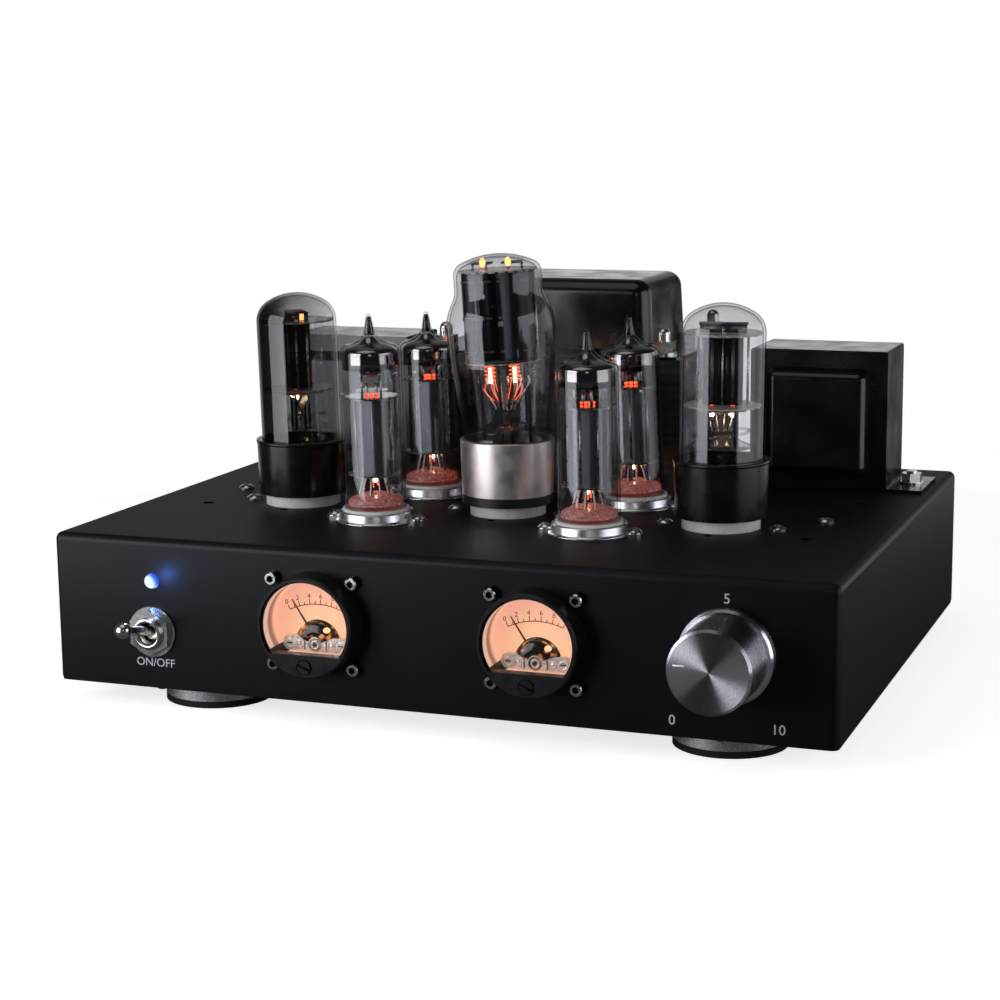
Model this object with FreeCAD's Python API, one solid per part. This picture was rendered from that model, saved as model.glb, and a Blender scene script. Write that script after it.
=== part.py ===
"""Tube integrated amplifier: folded steel chassis, three transformers, seven tubes, two meters.

Millimetres, +Z up, +X to the right as seen from the front, the front panel faces -Y.
The origin is on the surface that the feet stand on, under the middle of the whole outline.
Every piece is a separate solid, and each node is written to parts/NODE.step.
"""
import FreeCAD, Part
import math
import os
from FreeCAD import Vector

X = Vector(1, 0, 0)
Y = Vector(0, 1, 0)
Z = Vector(0, 0, 1)

# Fits shared by all pieces
running = 0.06          # radial clearance of a turning or sliding fit
loose = 0.2             # clearance of a piece in the cut-out that it passes through
gap = 0.3               # air left between pieces that pass by each other

# Chassis: one folded shell with lips, closed from below by a flat plate
chassis_width = 280.0
chassis_depth = 218.0
chassis_height = 52.3
sheet = 1.5
bend = 2.6
lip = 11.0
plate_sheet = 1.0
plate_inset = 0.2
vent_length = 34.0
vent_width = 3.0
vent_pitch = 9.0
vent_count = 9

# Feet: turned bodies on rubber rings
foot_radius = 19.2
foot_height = 8.0
pad_height = 2.4
pad_bore = 11.0
foot_recess = 8.0
foot_left = -89.8
foot_right = 98.6
foot_end = 25.9         # from the front or back to the foot's middle

# Screws: shank radius, head radius, head height
m3_shank = 1.5
m3_head = 2.9
m3_head_height = 1.9
plate_screw_head = 2.3
plate_screw_height = 1.5
plate_screw_side = 101.0
plate_screw_end = 4.1   # from the front or back to the screw's middle
m4_shank = 2.0
m4_flats = 7.0
m4_nut = 3.2
m4_washer = 4.5
m5_shank = 2.5
m5_flats = 8.0
m5_nut = 4.2
m5_tail = 5.0
washer_sheet = 0.8

# Power transformer: laminations lie flat on the deck, coil through a cut-out, bell on top
power_y = 168.6
power_width = 105.0
power_depth = 87.5
power_stack = 52.0
power_leg = 35.0        # middle leg of the laminations
power_bolt_inset = 8.75
power_coil_rise = 16.0
bell_room = 4.0         # from the bell's outside to the coil
coil_round = 3.0
bell_sheet = 1.2
bell_width = 71.0
bell_depth = 54.0
bell_height = 26.4
bell_draft = 0.045
bell_corner = 6.0

# Output transformers: upright, held by a strap with feet, a pressed cover on both faces
output_left = -98.4
output_right = 96.3
output_y = 178.0
output_width = 50.2
output_height = 52.0
output_stack = 30.0
strap_sheet = 1.2
strap_foot = 13.4
strap_hole = 7.0        # from the strap's upright to the middle of the foot's screw
cover_sheet = 1.0
cover_width = 40.4
cover_tall = 41.4
cover_rise = 6.5
cover_corner = 3.2
cover_draft = 0.25
cover_room = 4.0        # from a cover's outside to the coil
output_leg = 16.0

# Tube places on the deck, from the middle line and the front panel's face
octal_x = 80.6
octal_y = 79.5
rectifier_y = 82.6
noval_x = 40.2
noval_front_y = 55.1
noval_back_y = 108.5

# Octal sockets and the bases that plug into them
socket_radius = 13.8
socket_rise = 4.1
socket_depth = 15.0     # from the deck's top face down to the circuit board
socket_plate = 1.2
socket_ears = 20.4
octal_circle = 8.73
octal_pin = 1.18
octal_pin_length = 11.0
octal_key = 3.9
octal_key_length = 12.5

# Noval sockets, their saddle rings and the pins of the small tubes
noval_flange = 11.9
noval_flange_rise = 4.8
noval_body = 10.0
saddle_radius = 13.2
saddle_rise = 2.4
saddle_lug = 16.0
saddle_sheet = 1.0
noval_circle = 5.95
noval_pin = 0.51
noval_pin_length = 7.0

# Tubes: heights are above the deck
base_floor = 2.0
base_wall = 1.5
base_lip = 0.3
base_lip_height = 1.3
octal_base_top = 24.3
octal_base_radius = 16.1
octal_base_flare = 0.6
octal_glass_radius = 14.75
octal_glass_top = 78.5
octal_knuckle = 8.5
octal_crown = 20.0
glass_wall = 0.9
sleeve_wall = 0.6
sleeve_low = 7.6        # the metal sleeve starts here, above a plastic foot
rectifier_base_top = 27.4
rectifier_base_radius = 16.6
rectifier_base_flare = 0.5
rectifier_waist = 15.5
rectifier_belly = 19.5
rectifier_belly_height = 66.5
rectifier_shoulder = 14.0  # from the belly's widest up to the foot of the cap
rectifier_cap = 15.9
rectifier_cap_length = 6.4  # the straight part of the cap, below its dome
rectifier_dome = 7.0
stem_radius = 12.6      # the bulbs narrow to this inside their bases
noval_radius = 10.95
noval_tip = 14.4        # from the bulb's shoulder to the end of its tip

# The bulbs were blown and set by hand: each leans a little, in degrees to the left,
# and the small ones differ in the height of their shoulders.
octal_leans = (1.3, 3.0, -0.6)
noval_leans = (1.2, 0.8, 1.4, 2.2)
noval_shoulders = (59.6, 56.4, 55.2, 55.7)

# Electrodes: mica discs, plates and the posts that carry them
mica = 0.5
post = 0.6

# Front panel, heights above the chassis' lower edge
toggle_x = -101.7
toggle_z = 19.3
lamp_x = -101.3
lamp_z = 37.3
meter_x = 39.6
meter_z = 27.0
knob_x = 104.3
knob_z = 27.3

# Meters
meter_radius = 17.4
meter_flare = 0.4
meter_out = 9.0
meter_body = 16.6
meter_in = 18.0
meter_wall = 1.2
meter_chord = 9.2       # the window ends this far under the meter's middle
meter_floor_chord = 10.8  # and the room behind it this far
meter_shelf = 5.0       # the room is as wide as that up to here, before the panel
meter_pitch = 29.6
meter_pivot = 7.7       # the needle turns this far under the meter's middle
meter_screw_drop = 13.3
window_sheet = 1.2
dial_depth = 12.4       # from the window's outer face back to the dial
dial_sheet = 0.6
needle_length = 17.4
needle_angle = 33.0     # to the left of upright at rest
bridge_length = 24.0
bridge_height = 5.2
bridge_sheet = 1.6
magnet_radius = 7.8
magnet_length = 8.5
meter_screw_head = 2.2
meter_screw_height = 2.4
meter_screw_shank = 1.25
meter_washer = 2.8
zero_screw = 2.5

# Toggle switch
bushing_radius = 5.75
bushing_out = 8.6
bushing_mouth = 4.7
toggle_ball = 3.3
toggle_pivot = 1.0      # behind the panel's face
toggle_tilt = 13.0
toggle_pin = 0.7
toggle_pin_end = 4.3    # half the length of the pin across the ball
lever_root = 1.8
lever_end = 1.4
lever_length = 21.6
lever_tip = 2.9
toggle_washer = 8.9
toggle_flats = 14.4
toggle_nut = 2.4
toggle_body_width = 17.0
toggle_body_height = 28.0
toggle_body_depth = 17.0

# Volume control
knob_radius = 13.5
knob_waist = 14.2
knob_flange = 15.7
knob_flange_height = 4.2
knob_length = 22.9
knob_lift = 0.6
knob_hollow = 8.5
knob_hollow_depth = 5.0
shaft_radius = 3.0
shaft_length = 18.0
pot_bushing = 3.5
pot_bushing_out = 4.0
pot_radius = 12.0
pot_depth = 13.0
pot_flats = 10.0
pot_nut = 2.2

# Indicator lamp
lamp_radius = 2.5
lamp_out = 2.6
lamp_collar = 3.4
lamp_in = 7.0

# Back panel, heights above the chassis' lower edge
connector_z = 26.0
inlet_x = -96.0
inlet_width = 30.0
inlet_height = 25.0
inlet_flange = 3.0
inlet_ear = 20.0
inlet_shroud_width = 26.8
inlet_shroud_height = 18.6
inlet_depth = 20.0
inlet_wall = 2.0
inlet_pin_pitch = 7.0
inlet_pin_length = 14.0
post_places = (-34.0, -15.0, 15.0, 34.0)
post_bore = 2.05
post_metal = 3.6
post_length = 22.9
post_cap = 6.6
post_cap_length = 14.0
post_collar = 6.2
post_collar_length = 4.5
jack_places = (84.0, 104.0)
jack_radius = 4.15
jack_bore = 1.6
jack_length = 9.5
jack_collar = 6.0
jack_flats = 11.0

# Circuit board under the deck, with what stands on it
board_width = 244.0
board_front = 38.0
board_back = 132.0
board_sheet = 1.6
board_screw_x = 113.8
board_screw_y = (66.8, 98.0)
standoff_radius = 2.8
capacitor_radius = 9.0
capacitor_length = 24.0
capacitor_places = ((-60.0, 52.0), (-20.0, 60.0), (20.0, 60.0), (60.0, 52.0))

# Places worked out from the sizes above
knob_reach = knob_lift + knob_length
front = -(chassis_depth + knob_reach + post_length) / 2 + knob_reach
back = front + chassis_depth
power_coil = (bell_width - 2 * bell_room, bell_depth - 2 * bell_room)
output_coil = (cover_tall - 2 * cover_room, cover_width - 2 * cover_room)
base = foot_height + plate_sheet
deck = base + chassis_height
side = chassis_width / 2
ceiling = deck - sheet
board_top = deck - socket_depth


def block(x0, x1, y0, y1, z0, z1):
    """Box between two corners."""
    return Part.makeBox(x1 - x0, y1 - y0, z1 - z0, Vector(x0, y0, z0))


def rod(radius, start, axis, length):
    """Round bar from start along axis."""
    return Part.makeCylinder(radius, length, start, axis)


def collar(outer, inner, start, axis, length):
    """Round bar with a hole along its axis."""
    return rod(outer, start, axis, length).cut(rod(inner, start, axis, length))


def prism(points, height):
    """Straight solid over an outline in the XY plane."""
    corners = [Vector(x, y, 0) for x, y in points]
    face = Part.Face(Part.makePolygon(corners + corners[:1]))
    return face.extrude(Vector(0, 0, height))


def hexagon(flats, height):
    """Hexagonal prism standing on the XY plane."""
    corner = flats / math.sqrt(3)
    angles = [math.radians(60 * i + 30) for i in range(6)]
    return prism([(corner * math.cos(a), corner * math.sin(a)) for a in angles], height)


def turned(path):
    """Solid of revolution about Z. A step is a point (radius, z), or (through, end) for an arc."""
    edges = []
    here = Vector(path[0][0], 0, path[0][1])
    for step in path[1:] + path[:1]:
        is_arc = isinstance(step[0], tuple)
        end = step[1] if is_arc else step
        there = Vector(end[0], 0, end[1])
        if is_arc:
            through = Vector(step[0][0], 0, step[0][1])
            edges.append(Part.Arc(here, through, there).toShape())
        elif (there - here).Length > 1e-6:
            edges.append(Part.makeLine(here, there))
        here = there
    return Part.Face(Part.Wire(edges)).revolve(Vector(0, 0, 0), Z, 360)


def dome(radius, low, high):
    """Arc step for turned: a spherical cap from (radius, low) up to the axis at high."""
    rise = high - low
    ball = (radius ** 2 + rise ** 2) / (2 * rise)
    half = math.atan2(radius, ball - rise) / 2
    return ((ball * math.sin(half), high - ball + ball * math.cos(half)), (0, high))


def moved(shape, x, y, z):
    """Copy of a shape, shifted."""
    copy = shape.copy()
    copy.translate(Vector(x, y, z))
    return copy


def turned_round(shape, degrees, axis=Z):
    """Copy of a shape, turned about an axis through the origin."""
    copy = shape.copy()
    copy.rotate(Vector(0, 0, 0), axis, degrees)
    return copy


def on_front(shape, x, z, out=0.0):
    """Put a piece that was drawn lying on the XY plane onto the front panel, +Z outwards."""
    return moved(turned_round(shape, 90, X), x, front - out, base + z)


def on_back(shape, x, z, out=0.0):
    """The same on the back panel."""
    return moved(turned_round(shape, -90, X), x, back + out, base + z)


def on_deck(shape, x, y, z=0.0):
    """Put a piece on the deck, y counted from the front panel's face."""
    return moved(shape, x, front + y, deck + z)


def group(shapes):
    """Several separate solids in one node."""
    return Part.makeCompound(shapes)


def round_edges(shape, radius, wanted):
    """Fillet the edges whose middle and direction satisfy wanted(middle, direction)."""
    edges = []
    for edge in shape.Edges:
        middle = edge.valueAt((edge.FirstParameter + edge.LastParameter) / 2)
        direction = edge.tangentAt((edge.FirstParameter + edge.LastParameter) / 2)
        if wanted(middle, direction):
            edges.append(edge)
    return shape.makeFillet(radius, edges)


def pan_screw(shank, head, height, length):
    """Round-headed screw with a cross recess: head above the XY plane, shank below it."""
    rim = 0.3 * height
    shape = turned([(0, -length), (shank, -length), (shank, 0), (head, 0), (head, rim),
                    dome(head, rim, height)])
    slot = block(-0.5 * head, 0.5 * head, -0.3, 0.3, 0.45 * height, height)
    return shape.cut(slot.fuse(turned_round(slot, 90)))


def screw_hole(shank, top, depth):
    """Cutter for a screw along Z."""
    return rod(shank + loose, Vector(0, 0, top - depth), Z, depth)


def pressed_dome(width, depth, height, draft, corner):
    """Drawn sheet form: a box whose sides lean inwards, with rounded sides and top."""
    top_x = width / 2 - draft * height
    top_y = depth / 2 - draft * height
    wedge = Part.makeWedge(-width / 2, 0, -depth / 2, -top_y, -top_x,
                           width / 2, height, depth / 2, top_y, top_x)
    upright = turned_round(wedge, 90, X)
    return round_edges(upright, corner, lambda middle, direction: middle.z > 0.1 * height)


# Chassis and feet

deck_screw_places = (
    [(s * octal_x + t * socket_ears, octal_y) for s in (-1, 1) for t in (-1, 1)]
    + [(t * socket_ears, rectifier_y) for t in (-1, 1)]
    + [(s * board_screw_x, y) for s in (-1, 1) for y in board_screw_y[1:]])
octal_places = [(-octal_x, octal_y), (0.0, rectifier_y), (octal_x, octal_y)]
noval_places = [(s * noval_x, y) for y in (noval_front_y, noval_back_y) for s in (-1, 1)]
lug_screw_places = [(x + t * saddle_lug, y) for x, y in noval_places for t in (-1, 1)]
power_bolt_places = [(s * (power_width / 2 - power_bolt_inset),
                      power_y + t * (power_depth / 2 - power_bolt_inset))
                     for s in (-1, 1) for t in (-1, 1)]
strap_side = output_width / 2 + strap_sheet
output_screw_places = [(x + t * (strap_side + strap_hole), output_y)
                       for x in (output_left, output_right) for t in (-1, 1)]
meter_screw_places = [(s * meter_x + t * meter_pitch / 2, meter_z + u * meter_pitch / 2)
                      for s in (-1, 1) for t in (-1, 1) for u in (-1, 1)]
foot_places = [(x, y) for x in (foot_left, foot_right)
               for y in (foot_end, chassis_depth - foot_end)]
plate_screw_places = ([(s * (side - sheet - lip / 2), chassis_depth / 2) for s in (-1, 1)]
                      + [(s * plate_screw_side, y) for s in (-1, 1)
                         for y in (plate_screw_end, chassis_depth - plate_screw_end)])


def chassis_shell():
    """Top, front, back and sides folded from one sheet, with lips turned in at the bottom."""
    outer = block(-side, side, front, back, base, deck)
    outer = round_edges(outer, bend, lambda middle, direction: middle.z > base + 1)
    inner = block(sheet - side, side - sheet, front + sheet, back - sheet, base - sheet, ceiling)
    inner = round_edges(inner, bend - sheet, lambda middle, direction: middle.z > base + 1)
    shell = outer.cut(inner)
    rim = block(-side + sheet, side - sheet, front + sheet, back - sheet, base, base + sheet)
    opening = block(-side + sheet + lip, side - sheet - lip,
                    front + sheet + lip, back - sheet - lip, base, base + sheet)
    shell = shell.fuse(rim.cut(opening))
    return shell.cut(group(deck_cuts() + panel_cuts() + lip_cuts()))


def deck_cuts():
    """Cutters for the holes in the top."""
    through = 4 * sheet
    start = -2 * sheet
    cuts = [on_deck(rod(socket_radius + loose, Vector(0, 0, start), Z, through), x, y)
            for x, y in octal_places]
    cuts += [on_deck(rod(noval_body + loose, Vector(0, 0, start), Z, through), x, y)
             for x, y in noval_places]
    half_x, half_y = (size / 2 + gap for size in power_coil)
    cuts.append(on_deck(block(-half_x, half_x, -half_y, half_y, start, start + through), 0, power_y))
    cuts += [on_deck(screw_hole(m3_shank, start + through, through), x, y)
             for x, y in deck_screw_places + lug_screw_places]
    cuts += [on_deck(screw_hole(m5_shank, start + through, through), x, y)
             for x, y in power_bolt_places]
    cuts += [on_deck(screw_hole(m4_shank, start + through, through), x, y)
             for x, y in output_screw_places]
    cuts += [on_deck(rod(radius, Vector(0, 0, start), Z, through), s * x, y)
             for s in (-1, 1)
             for radius, x, y in ((2.2, board_screw_x, board_screw_y[0]),
                                  (1.6, octal_x, octal_y - socket_radius - 3.2),
                                  (1.6, 118.0, 137.0))]
    cuts.append(on_deck(rod(1.6, Vector(0, 0, start), Z, through),
                        0, rectifier_y - socket_radius - 3.2))
    return cuts


def panel_cuts():
    """Cutters for the holes in the front and the back."""
    through = 4 * sheet
    start = Vector(0, 0, -2 * sheet)
    cuts = [on_front(rod(radius + loose, start, Z, through), x, z)
            for radius, x, z in ((bushing_radius, toggle_x, toggle_z),
                                 (lamp_radius, lamp_x, lamp_z),
                                 (pot_bushing, knob_x, knob_z),
                                 (meter_body, -meter_x, meter_z),
                                 (meter_body, meter_x, meter_z))]
    cuts += [on_front(rod(meter_screw_shank + loose, start, Z, through), x, z)
             for x, z in meter_screw_places]
    half_x = inlet_shroud_width / 2 + loose
    half_z = inlet_shroud_height / 2 + loose
    cuts.append(on_back(block(-half_x, half_x, -half_z, half_z, -2 * sheet, 2 * sheet),
                        inlet_x, connector_z))
    cuts += [on_back(rod(m3_shank + loose, start, Z, through), inlet_x + s * inlet_ear, connector_z)
             for s in (-1, 1)]
    cuts += [on_back(rod(post_metal + loose, start, Z, through), x, connector_z)
             for x in post_places]
    cuts += [on_back(rod(jack_radius + loose, start, Z, through), x, connector_z)
             for x in jack_places]
    return cuts


def lip_cuts():
    """Cutters for the bottom plate's screws in the lips."""
    return [moved(screw_hole(m3_shank, 2 * sheet, 3 * sheet), x, front + y, base)
            for x, y in plate_screw_places]


def bottom_plate():
    """Flat plate under the lips, with two rows of vent slots."""
    plate = block(plate_inset - side, side - plate_inset,
                  front + plate_inset, back - plate_inset, base - plate_sheet, base)
    plate = round_edges(plate, bend, lambda middle, direction: abs(direction.z) > 0.9)
    slot = block(-vent_width / 2, vent_width / 2, -vent_length / 2, vent_length / 2,
                 -plate_sheet, 0)
    slots = [moved(slot, (i - (vent_count - 1) / 2) * vent_pitch, front + y, base)
             for i in range(vent_count) for y in (70.0, 150.0)]
    holes = [moved(screw_hole(m3_shank, sheet, 3 * sheet), x, front + y, base)
             for x, y in plate_screw_places]
    holes += [moved(screw_hole(m4_shank, sheet, 3 * sheet), x, front + y, base)
              for x, y in foot_places]
    return plate.cut(group(slots + holes))


def plate_screws():
    """Screws that hold the bottom plate to the lips, heads below."""
    screw = pan_screw(m3_shank, plate_screw_head, plate_screw_height, plate_sheet + sheet + 2)
    screw = turned_round(screw, 180, X)
    return group([moved(screw, x, front + y, base - plate_sheet) for x, y in plate_screw_places])


def foot_body():
    """Turned foot: a low drum with a soft upper edge and a recess for its screw."""
    soft = 1.2
    return turned([(m4_shank + loose, foot_height), (foot_radius - soft, foot_height),
                   ((foot_radius - 0.3 * soft, foot_height - 0.3 * soft),
                    (foot_radius, foot_height - soft)),
                   (foot_radius, pad_height), (foot_recess, pad_height),
                   (foot_recess, foot_height - 2), (m4_shank + loose, foot_height - 2)])


def foot_pad():
    """Rubber ring glued under a foot."""
    return collar(foot_radius, pad_bore, Vector(0, 0, 0), Z, pad_height)


def foot_screw():
    """Screw from below through the foot and the bottom plate."""
    screw = pan_screw(m4_shank, 3.8, 2.2, plate_sheet + 2 + 5)
    return moved(turned_round(screw, 180, X), 0, 0, foot_height - 2)


def at_feet(shape):
    """One copy of a shape under each corner."""
    return group([moved(shape, x, front + y, 0) for x, y in foot_places])


# Transformers

def laminations(long_side, short_side, stack, leg, coil_long, coil_short):
    """Stack of E and I sheets standing on the XY plane, with two windows for the coil."""
    core = block(-long_side / 2, long_side / 2, -short_side / 2, short_side / 2, 0, stack)
    reach_x = coil_long / 2 + gap
    reach_y = coil_short / 2 + gap
    window = block(leg / 2, reach_x, -reach_y, reach_y, 0, stack)
    return core.cut(window).cut(turned_round(window, 180))


def winding(coil_long, coil_short, stack, leg, rise):
    """Coil round the middle leg: it fills the windows and stands out of both faces."""
    coil = block(-coil_long / 2, coil_long / 2, -coil_short / 2, coil_short / 2,
                 -rise, stack + rise)
    coil = round_edges(coil, coil_round, lambda middle, direction: abs(direction.y) > 0.9)
    return coil.cut(block(-leg / 2, leg / 2, -coil_short, coil_short, 0, stack))


def power_core():
    """Core of the power transformer with the holes of its four bolts."""
    core = laminations(power_width, power_depth, power_stack, power_leg, *power_coil)
    holes = [moved(rod(m5_shank + loose, Vector(0, 0, 0), Z, power_stack), x, y - power_y, 0)
             for x, y in power_bolt_places]
    return on_deck(core.cut(group(holes)), 0, power_y)


def power_bell():
    """Pressed bell with a flat flange over the whole core."""
    flange = block(-power_width / 2, power_width / 2, -power_depth / 2, power_depth / 2,
                   0, bell_sheet)
    flange = round_edges(flange, 4.0, lambda middle, direction: abs(direction.z) > 0.9)
    dome = pressed_dome(bell_width, bell_depth, bell_height + bell_sheet, bell_draft, bell_corner)
    hollow = pressed_dome(bell_width - 2 * bell_sheet, bell_depth - 2 * bell_sheet,
                          bell_height, bell_draft, bell_corner - bell_sheet)
    holes = [moved(rod(m5_shank + loose, Vector(0, 0, 0), Z, bell_sheet), x, y - power_y, 0)
             for x, y in power_bolt_places]
    bell = flange.fuse(dome).cut(hollow).cut(group(holes))
    return on_deck(bell, 0, power_y, power_stack)


def power_bolts():
    """Four bolts from below: head under the deck, washer and nut on the bell's flange."""
    top = power_stack + bell_sheet
    grip = sheet + top + washer_sheet + m5_nut + m5_tail
    head = hexagon(m5_flats, 3.5)
    shank = turned([(0, 0), (m5_shank, 0), (m5_shank, grip - 0.9 * m5_shank),
                    dome(m5_shank, grip - 0.9 * m5_shank, grip)])
    bolt = moved(head, 0, 0, -sheet - 3.5).fuse(moved(shank, 0, 0, -sheet))
    washer = collar(m5_shank * 2, m5_shank + loose, Vector(0, 0, top), Z, washer_sheet)
    nut = hexagon(m5_flats, m5_nut).cut(rod(m5_shank, Vector(0, 0, 0), Z, m5_nut))
    nut = moved(nut, 0, 0, top + washer_sheet)
    pieces = []
    for x, y in power_bolt_places:
        pieces += [on_deck(piece, x, y) for piece in (bolt, washer, nut)]
    return group(pieces)


def output_core(x):
    """Core of an output transformer, standing on the deck with its long side upright."""
    core = laminations(output_height, output_width, output_stack, output_leg, *output_coil)
    return stand_output(core, x)


def stand_output(shape, x):
    """Turn a shape from lying on its face to upright, centred at an output transformer."""
    upright = turned_round(turned_round(shape, 90, Z), 90, X)
    return on_deck(upright, x, output_y + output_stack / 2, output_height / 2)


def output_winding(x):
    """Coil of an output transformer, inside its two covers."""
    rise = cover_rise - 2 * gap
    return stand_output(winding(*output_coil, output_stack, output_leg, rise), x)


def strap(x):
    """Steel strap over the top and sides of a core, with a foot turned out on each side."""
    inside = output_width / 2
    outside = strap_side
    foot = outside + strap_foot
    top = output_height + strap_sheet
    right = [(foot, 0), (foot, strap_sheet), (outside, strap_sheet), (outside, top)]
    left = [(-px, pz) for px, pz in reversed(right)]
    inner = [(-inside, 0), (-inside, output_height), (inside, output_height), (inside, 0)]
    width = output_stack + 2 * cover_sheet
    shape = turned_round(prism(right + left + inner, width), 90, X)
    shape = moved(shape, 0, width / 2, 0)
    shape = round_edges(shape, 1.1, lambda middle, direction: abs(direction.y) > 0.9
                        and abs(abs(middle.x) - outside) < 0.1)
    for s in (-1, 1):
        hole = rod(m4_shank + loose, Vector(s * (outside + strap_hole), 0, 0), Z, strap_sheet)
        shape = shape.cut(hole)
    return on_deck(shape, x, output_y)


def cover():
    """Pressed cover: a flat rim on the core's face and a raised panel over the coil."""
    rim = block(-output_width / 2, output_width / 2, -output_height / 2, output_height / 2,
                0, cover_sheet)
    panel = pressed_dome(cover_width, cover_tall, cover_rise + cover_sheet, cover_draft,
                         cover_corner)
    hollow = pressed_dome(cover_width - 2 * cover_sheet, cover_tall - 2 * cover_sheet,
                          cover_rise, cover_draft, cover_corner - cover_sheet)
    return rim.fuse(panel).cut(hollow)


def output_covers():
    """Front and back covers of both output transformers."""
    pieces = []
    front_cover = turned_round(cover(), 90, X)
    back_cover = turned_round(cover(), -90, X)
    for x in (output_left, output_right):
        middle = output_height / 2
        pieces.append(on_deck(front_cover, x, output_y - output_stack / 2, middle))
        pieces.append(on_deck(back_cover, x, output_y + output_stack / 2, middle))
    return group(pieces)


def output_screws():
    """Screw from below, washer and nut at each foot of the straps."""
    top = strap_sheet + washer_sheet
    length = sheet + top + m4_nut + 0.9
    screw = turned([(0, 0), (3.6, 0), (3.6, 2.2), (m4_shank, 2.2), (m4_shank, 2.2 + length),
                    (0, 2.2 + length)])
    washer = collar(m4_washer, m4_shank + loose, Vector(0, 0, strap_sheet), Z, washer_sheet)
    nut = hexagon(m4_flats, m4_nut).cut(rod(m4_shank, Vector(0, 0, 0), Z, m4_nut))
    pieces = []
    for x, y in output_screw_places:
        pieces.append(on_deck(screw, x, y, -sheet - 2.2))
        pieces.append(on_deck(washer, x, y))
        pieces.append(on_deck(nut, x, y, top))
    return group(pieces)


# Sockets

def circle_places(radius, count, used, start=0.0):
    """Places on a circle, evenly spaced; used of them are taken."""
    angles = [math.radians(start + 360 * i / count) for i in range(used)]
    return [(radius * math.cos(a), radius * math.sin(a)) for a in angles]


def octal_socket():
    """Ceramic socket through the deck: eight contacts round a keyed hole."""
    body = rod(socket_radius, Vector(0, 0, -socket_depth), Z, socket_depth + socket_rise)
    body = body.fuse(rod(socket_radius + 2.0, Vector(0, 0, -sheet - 3), Z, 3))
    depth = octal_pin_length + 1
    holes = [rod(octal_pin + running, Vector(x, y, socket_rise - depth), Z, depth)
             for x, y in circle_places(octal_circle, 8, 8, 22.5)]
    keyway = octal_key_length + 0.5
    holes.append(rod(octal_key + running, Vector(0, 0, socket_rise - keyway), Z, keyway))
    return body.cut(group(holes))


def socket_plate_with_ears():
    """Steel plate under the deck that clamps an octal socket by two ears."""
    ears = rod(4.0, Vector(-socket_ears, 0, 0), Z, socket_plate)
    ears = ears.fuse(rod(4.0, Vector(socket_ears, 0, 0), Z, socket_plate))
    ears = ears.fuse(block(-socket_ears, socket_ears, -4, 4, 0, socket_plate))
    ears = ears.fuse(rod(socket_radius + 3, Vector(0, 0, 0), Z, socket_plate))
    holes = [rod(socket_radius + loose, Vector(0, 0, 0), Z, socket_plate)]
    holes += [rod(m3_shank, Vector(s * socket_ears, 0, 0), Z, socket_plate) for s in (-1, 1)]
    return moved(ears.cut(group(holes)), 0, 0, -sheet - 3 - socket_plate)


def noval_socket():
    """Ceramic socket with a flange on the deck and nine contacts."""
    body = rod(noval_flange, Vector(0, 0, 0), Z, noval_flange_rise)
    body = body.fuse(rod(noval_body, Vector(0, 0, -socket_depth), Z, socket_depth))
    depth = noval_pin_length + 1
    holes = [rod(noval_pin + running, Vector(x, y, noval_flange_rise - depth), Z, depth)
             for x, y in circle_places(noval_circle, 10, 9, 108)]
    return body.cut(group(holes))


def saddle_ring():
    """Plated ring round a noval socket's flange, with two screwed lugs."""
    wall = rod(saddle_radius, Vector(0, 0, 0), Z, saddle_rise)
    lugs = block(-saddle_lug, saddle_lug, -3.2, 3.2, 0, saddle_sheet)
    for s in (-1, 1):
        lugs = lugs.fuse(rod(3.2, Vector(s * saddle_lug, 0, 0), Z, saddle_sheet))
    holes = [rod(noval_flange + 0.1, Vector(0, 0, 0), Z, saddle_rise)]
    holes += [rod(m3_shank, Vector(s * saddle_lug, 0, 0), Z, saddle_sheet) for s in (-1, 1)]
    return wall.fuse(lugs).cut(group(holes))


def deck_screws():
    """Round-headed screws of the sockets, the saddle rings and the board."""
    low = pan_screw(m3_shank, m3_head, m3_head_height, sheet + 6)
    screws = [on_deck(low, x, y) for x, y in deck_screw_places]
    screws += [on_deck(low, x, y, saddle_sheet) for x, y in lug_screw_places]
    return group(screws)


# Tubes

def key_and_pins(length, circle, radius, count, used, start):
    """Pins under a tube, hanging down from the XY plane."""
    return [rod(radius, Vector(x, y, -length), Z, length)
            for x, y in circle_places(circle, count, used, start)]


def leaning(shape, degrees, pivot, floor):
    """A piece turned to the left about a height on its axis and cut flat at its floor."""
    turn = moved(turned_round(moved(shape, 0, 0, -pivot), -degrees, Y), 0, 0, pivot)
    wide = 3 * rectifier_belly
    return turn.cut(block(-wide, wide, -wide, wide, floor - 10, floor))


base_bottom = socket_rise + 0.1
base_inside = base_bottom + base_floor
noval_bottom = noval_flange_rise + 0.1


def octal_base():
    """Plastic cup with a lip, eight pins and a key."""
    outer = octal_base_radius + octal_base_flare
    inner = octal_glass_radius + 0.15
    low_lip = octal_base_top - base_lip_height
    cup = turned([(0, base_bottom), (octal_base_radius, base_bottom), (outer, low_lip),
                  ((outer + base_lip, low_lip + base_lip_height / 2), (outer, octal_base_top)),
                  (inner, octal_base_top), (inner, base_inside), (0, base_inside)])
    return cup.fuse(octal_pins())


def octal_pins():
    """Pins and key under a base."""
    pins = key_and_pins(octal_pin_length, octal_circle, octal_pin, 8, 8, 22.5)
    pins.append(rod(octal_key, Vector(0, 0, -octal_key_length), Z, octal_key_length))
    return [moved(pin, 0, 0, base_bottom) for pin in pins]


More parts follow.
